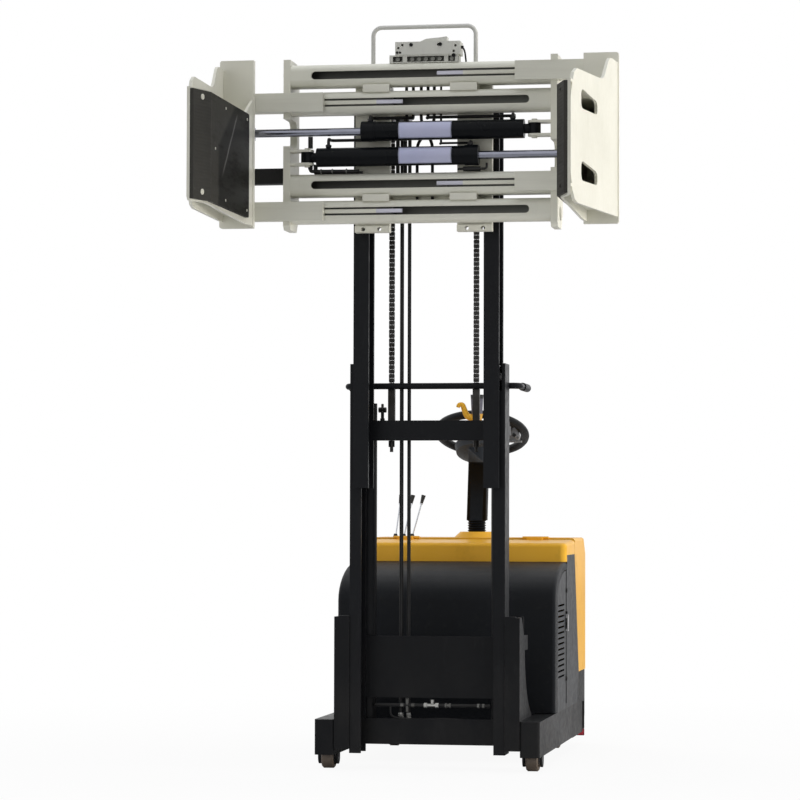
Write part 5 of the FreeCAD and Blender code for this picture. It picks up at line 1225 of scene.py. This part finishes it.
# %% Seam, handle and catches
SEAM_Y = 760
PANEL_X = 400
HANDLE_Z = 494
SEAM_LOW = 0.196
SEAM_HIGH = 0.690
shape = Shape()
for side in (-1, 1):
    handle_y = SEAM_Y - 4
    shape.mark = 0
    # Dark strip: painted shade of the seam's groove.
    shape.pushed(rectangle(-0.0065, 0.0065, SEAM_LOW, SEAM_HIGH), at(side * PANEL_X, SEAM_Y, 0),
                 ALONG, UP, 0.0012)
    shape.mark = 3
    shape.pushed(rectangle(0.0070, 0.0100, SEAM_LOW, SEAM_HIGH), at(side * (PANEL_X + 0.8), SEAM_Y, 0),
                 ALONG, UP, 0.0020)
    shape.mark = 1
    shape.pushed(rectangle(-0.012, 0.012, -0.031, 0.031), at(side * (PANEL_X + 5), handle_y, HANDLE_Z),
                 ALONG, UP, 0.0090)
    shape.mark = 0
    shape.pushed(rectangle(-0.012, 0.012, -0.022, 0.019), at(side * (PANEL_X + 3), handle_y, HANDLE_Z),
                 ALONG, UP, 0.0060)
    shape.pushed(rectangle(-0.008, 0.008, 0.034, 0.043), at(side * (PANEL_X + 3), handle_y, HANDLE_Z),
                 ALONG, UP, 0.0070)
    shape.mark = 2
    for z in (614, 288):
        shape.socket(at(side * PANEL_X, SEAM_Y - 2, z), ACROSS * side, 0.0085, 0.0050)
shape.made("panel_trim", "chassis", [guard_black, handle_pale, chain_steel, panel_grey], bevel=0.0004)

# %% Corner guards and red strip
shape = Shape()
for side in (-1, 1):
    outline = []
    for k in range(9):
        turn = math.radians(90 * k / 8)
        outline.append((side * (358 + 44 * math.cos(turn)), 1352 + 84 * math.sin(turn)))
    outline += [(side * 330, 1436), (side * 330, 1352)]
    for mark, heights in enumerate(((62, 168), (34, 60))):
        shape.mark = mark
        shape.rings([[at(x, y, z) for x, y in outline] for z in heights])
shape.made("corner_guards", "chassis", [guard_black, strip_red], bevel=0.002)

# %% [markdown]
# ## Welds
# Ripple beads run where plates meet: round the guides at the end plates, and up the mast supports.
# A bump map could fake the ripple on a smooth bead, but a thin tube whose radius swells every few
# millimetres stands out in profile too, and costs little.

# %% Weld beads
WELD_Y = at(0, -139, 0).y
WELD_IN = 0.0012
WELD_ALONG = 0.0415
WELD_UP = 0.0400
guides_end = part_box("clamp_guides")[1][0]
shape = Shape()
for side in (-1, 1):
    for pair in rows:
        for z in pair:
            ring = []
            for k in range(13):
                turn = math.tau * k / 12
                ring.append(Vector((side * (guides_end - WELD_IN), WELD_Y + WELD_ALONG * math.sin(turn),
                                    z + WELD_UP * math.cos(turn))))
            shape.bead(ring, 0.0024, 0.0070)
shape.made("guide_welds", "carriage", [clamp_cream])
shape = Shape()
for side in (-1, 1):
    for y in (-4, 150):
        shape.bead([at(side * 276, y, 84), at(side * 276, y, 520)], 0.0030, 0.0075)
    shape.bead([at(side * 328, 4, 77), at(side * 396, 4, 77)], 0.0030, 0.0075)
shape.made("support_welds", "chassis", [frame_black])

# %% [markdown]
# ## Back of the cowl
# Six large screws hold the cowl's back. Between them sits a raised lid with four small screws and a
# row of slats for air. Lid and slats are outlines pushed a few millimetres through.

# %% Cowl fixings
cowl_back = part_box("rear_cowl")[1][1]
shape = Shape()
for x in (-0.340, 0.340):
    for z in (0.330, 0.560, 0.745):
        shape.socket(Vector((x, cowl_back - 0.0005, z)), ALONG, 0.0095, 0.0030)
shape.mark = 1
lid = [(-0.215, 0.560), (0.215, 0.560), (0.228, 0.573), (0.228, 0.727), (0.215, 0.740), (-0.215, 0.740),
       (-0.228, 0.727), (-0.228, 0.573)]
shape.pushed(lid, Vector((0, cowl_back + 0.001, 0)), ACROSS, UP, 0.0040)
shape.mark = 0
for x in (-0.200, 0.200):
    for z in (0.588, 0.712):
        shape.socket(Vector((x, cowl_back + 0.003, z)), ALONG, 0.0060, 0.0025)
for k in range(7):
    z = 0.610 + k * 0.013
    slat = rectangle(-0.120, 0.120, z, z + 0.005)
    shape.pushed(slat, Vector((0, cowl_back + 0.003, 0)), ACROSS, UP, 0.0030)
shape.made("cowl_fixings", "chassis", [guard_black, hood_amber], bevel=0.0008)

# %% [markdown]
# ## Floor
# A pale floor, as in a plain studio. More light would wash out the object, so the floor mixes a
# white glow into its own paint for rays that come straight from the camera, and the shadow that the
# object throws still shows through the rest.

# %% Floor
FLOOR_HALF = 30.0
mesh = bpy.data.meshes.new("studio_floor")
mesh.from_pydata([(x, y, 0) for x, y in rectangle(-FLOOR_HALF, FLOOR_HALF, -FLOOR_HALF, FLOOR_HALF)], [],
                 [(0, 1, 2, 3)])
floor = bpy.data.objects.new("studio_floor", mesh)
bpy.context.scene.collection.objects.link(floor)
r = Recipe("studio_floor")
across, along, _ = r.place()
away = r.ramp((across * across + along * along) ** 0.5, 1.0, 4.0)
glow = r.node("Emission", {}, {"Color": (1.0, 1.0, 1.0), "Strength": 1.0})
seen = r.node("LightPath", {}, {}, "Is Camera Ray") * (0.93 + 0.07 * away)
shade = r.node("MixShader", {}, {0: seen, 1: Value(r, r.shader.outputs[0]), 2: glow})
r.tree.links.new(shade.socket, r.tree.nodes["Material Output"].inputs["Surface"])
cloud = r.ramp(r.noise(40.0, 3.0), 0.3, 0.7)
mesh.materials.append(r.finish(Base_Color=r.mix(cloud, (0.84, 0.84, 0.84), (0.87, 0.87, 0.87)),
                               Roughness=0.9, Specular_IOR_Level=0.0))
print("floor", 2 * FLOOR_HALF, "m wide")

# %% [markdown]
# ## Surround
# The world is white to the eye but weak as a light. Rays from the camera, and those that pass
# through glass or bounce off gloss, see full white; every other ray takes only a soft even level.

# %% Surround
WORLD_LEVEL = 0.26
world = bpy.data.worlds.new("studio_surround")
bpy.context.scene.world = world
world.use_nodes = True
tree = world.node_tree
tree.nodes.clear()


def background(level):
    made = tree.nodes.new("ShaderNodeBackground")
    made.inputs["Color"].default_value = (1.0, 1.0, 1.0, 1.0)
    made.inputs["Strength"].default_value = level
    return made.outputs[0]


path = tree.nodes.new("ShaderNodeLightPath")
white_for = path.outputs["Is Camera Ray"]
for ray in ("Is Transmission Ray", "Is Glossy Ray"):
    higher = tree.nodes.new("ShaderNodeMath")
    higher.operation = "MAXIMUM"
    tree.links.new(white_for, higher.inputs[0])
    tree.links.new(path.outputs[ray], higher.inputs[1])
    white_for = higher.outputs[0]
choose = tree.nodes.new("ShaderNodeMixShader")
out = tree.nodes.new("ShaderNodeOutputWorld")
tree.links.new(white_for, choose.inputs[0])
tree.links.new(background(WORLD_LEVEL), choose.inputs[1])
tree.links.new(background(1.0), choose.inputs[2])
tree.links.new(choose.outputs[0], out.inputs["Surface"])
print("surround level", WORLD_LEVEL)

# %% [markdown]
# ## Lamps
# Four large soft areas: a warm key from the right, a cool one above like open sky, and two fills
# that keep the black mast readable from the front and the back. They are hidden from gloss, so that
# no square shows in the chrome.

# %% Lamps
def lamp(name, place, aim, size, power, tint=(1.0, 1.0, 1.0)):
    data = bpy.data.lights.new(name, "AREA")
    data.shape = "RECTANGLE"
    data.size, data.size_y = size
    data.energy = power
    data.color = tint
    made = bpy.data.objects.new(name, data)
    bpy.context.scene.collection.objects.link(made)
    made.location = place
    made.rotation_euler = (Vector(aim) - Vector(place)).to_track_quat("-Z", "Y").to_euler()
    made.visible_glossy = False


lamp("key_right", (8.0, -0.7, 1.6), (0.2, -0.4, 1.4), (3.0, 3.0), 460.0, (1.0, 0.965, 0.905))
lamp("sky_above", (0.4, -0.6, 6.6), (0.0, -0.4, 1.5), (4.0, 4.0), 150.0, (0.93, 0.95, 1.0))
lamp("fill_front", (-3.0, -9.0, 2.2), (0.0, -0.4, 1.4), (4.0, 3.0), 125.0)
lamp("fill_back", (-5.0, 6.0, 3.5), (0.0, 0.3, 1.2), (4.0, 4.0), 220.0)
print("lamps made")

# %% [markdown]
# ## Camera
# The camera stands low and far in front of the truck, a little to one side, with a long lens, so
# that the mast's uprights stay nearly parallel. Pointing it at a target would be easier, but a turn,
# a tilt and a roll of its own set the frame exactly.

# %% Camera
CAMERA_PLACE = (1.7165, -10.7436, 0.9097)
CAMERA_TURN = math.radians(9.80)
CAMERA_TILT = math.radians(2.08)
CAMERA_ROLL = math.radians(0.15)
data = bpy.data.cameras.new("camera")
data.lens = 136.8
data.sensor_width = 36.0
camera = bpy.data.objects.new("camera", data)
bpy.context.scene.collection.objects.link(camera)
camera.matrix_world = (Matrix.Translation(CAMERA_PLACE) @ Matrix.Rotation(CAMERA_TURN, 4, "Z")
                       @ Matrix.Rotation(math.pi / 2 + CAMERA_TILT, 4, "X")
                       @ Matrix.Rotation(CAMERA_ROLL, 4, "Z"))
bpy.context.scene.camera = camera
bpy.context.scene.view_settings.view_transform = "Standard"
print("camera", round(Vector(CAMERA_PLACE).length, 2), "m from the middle")
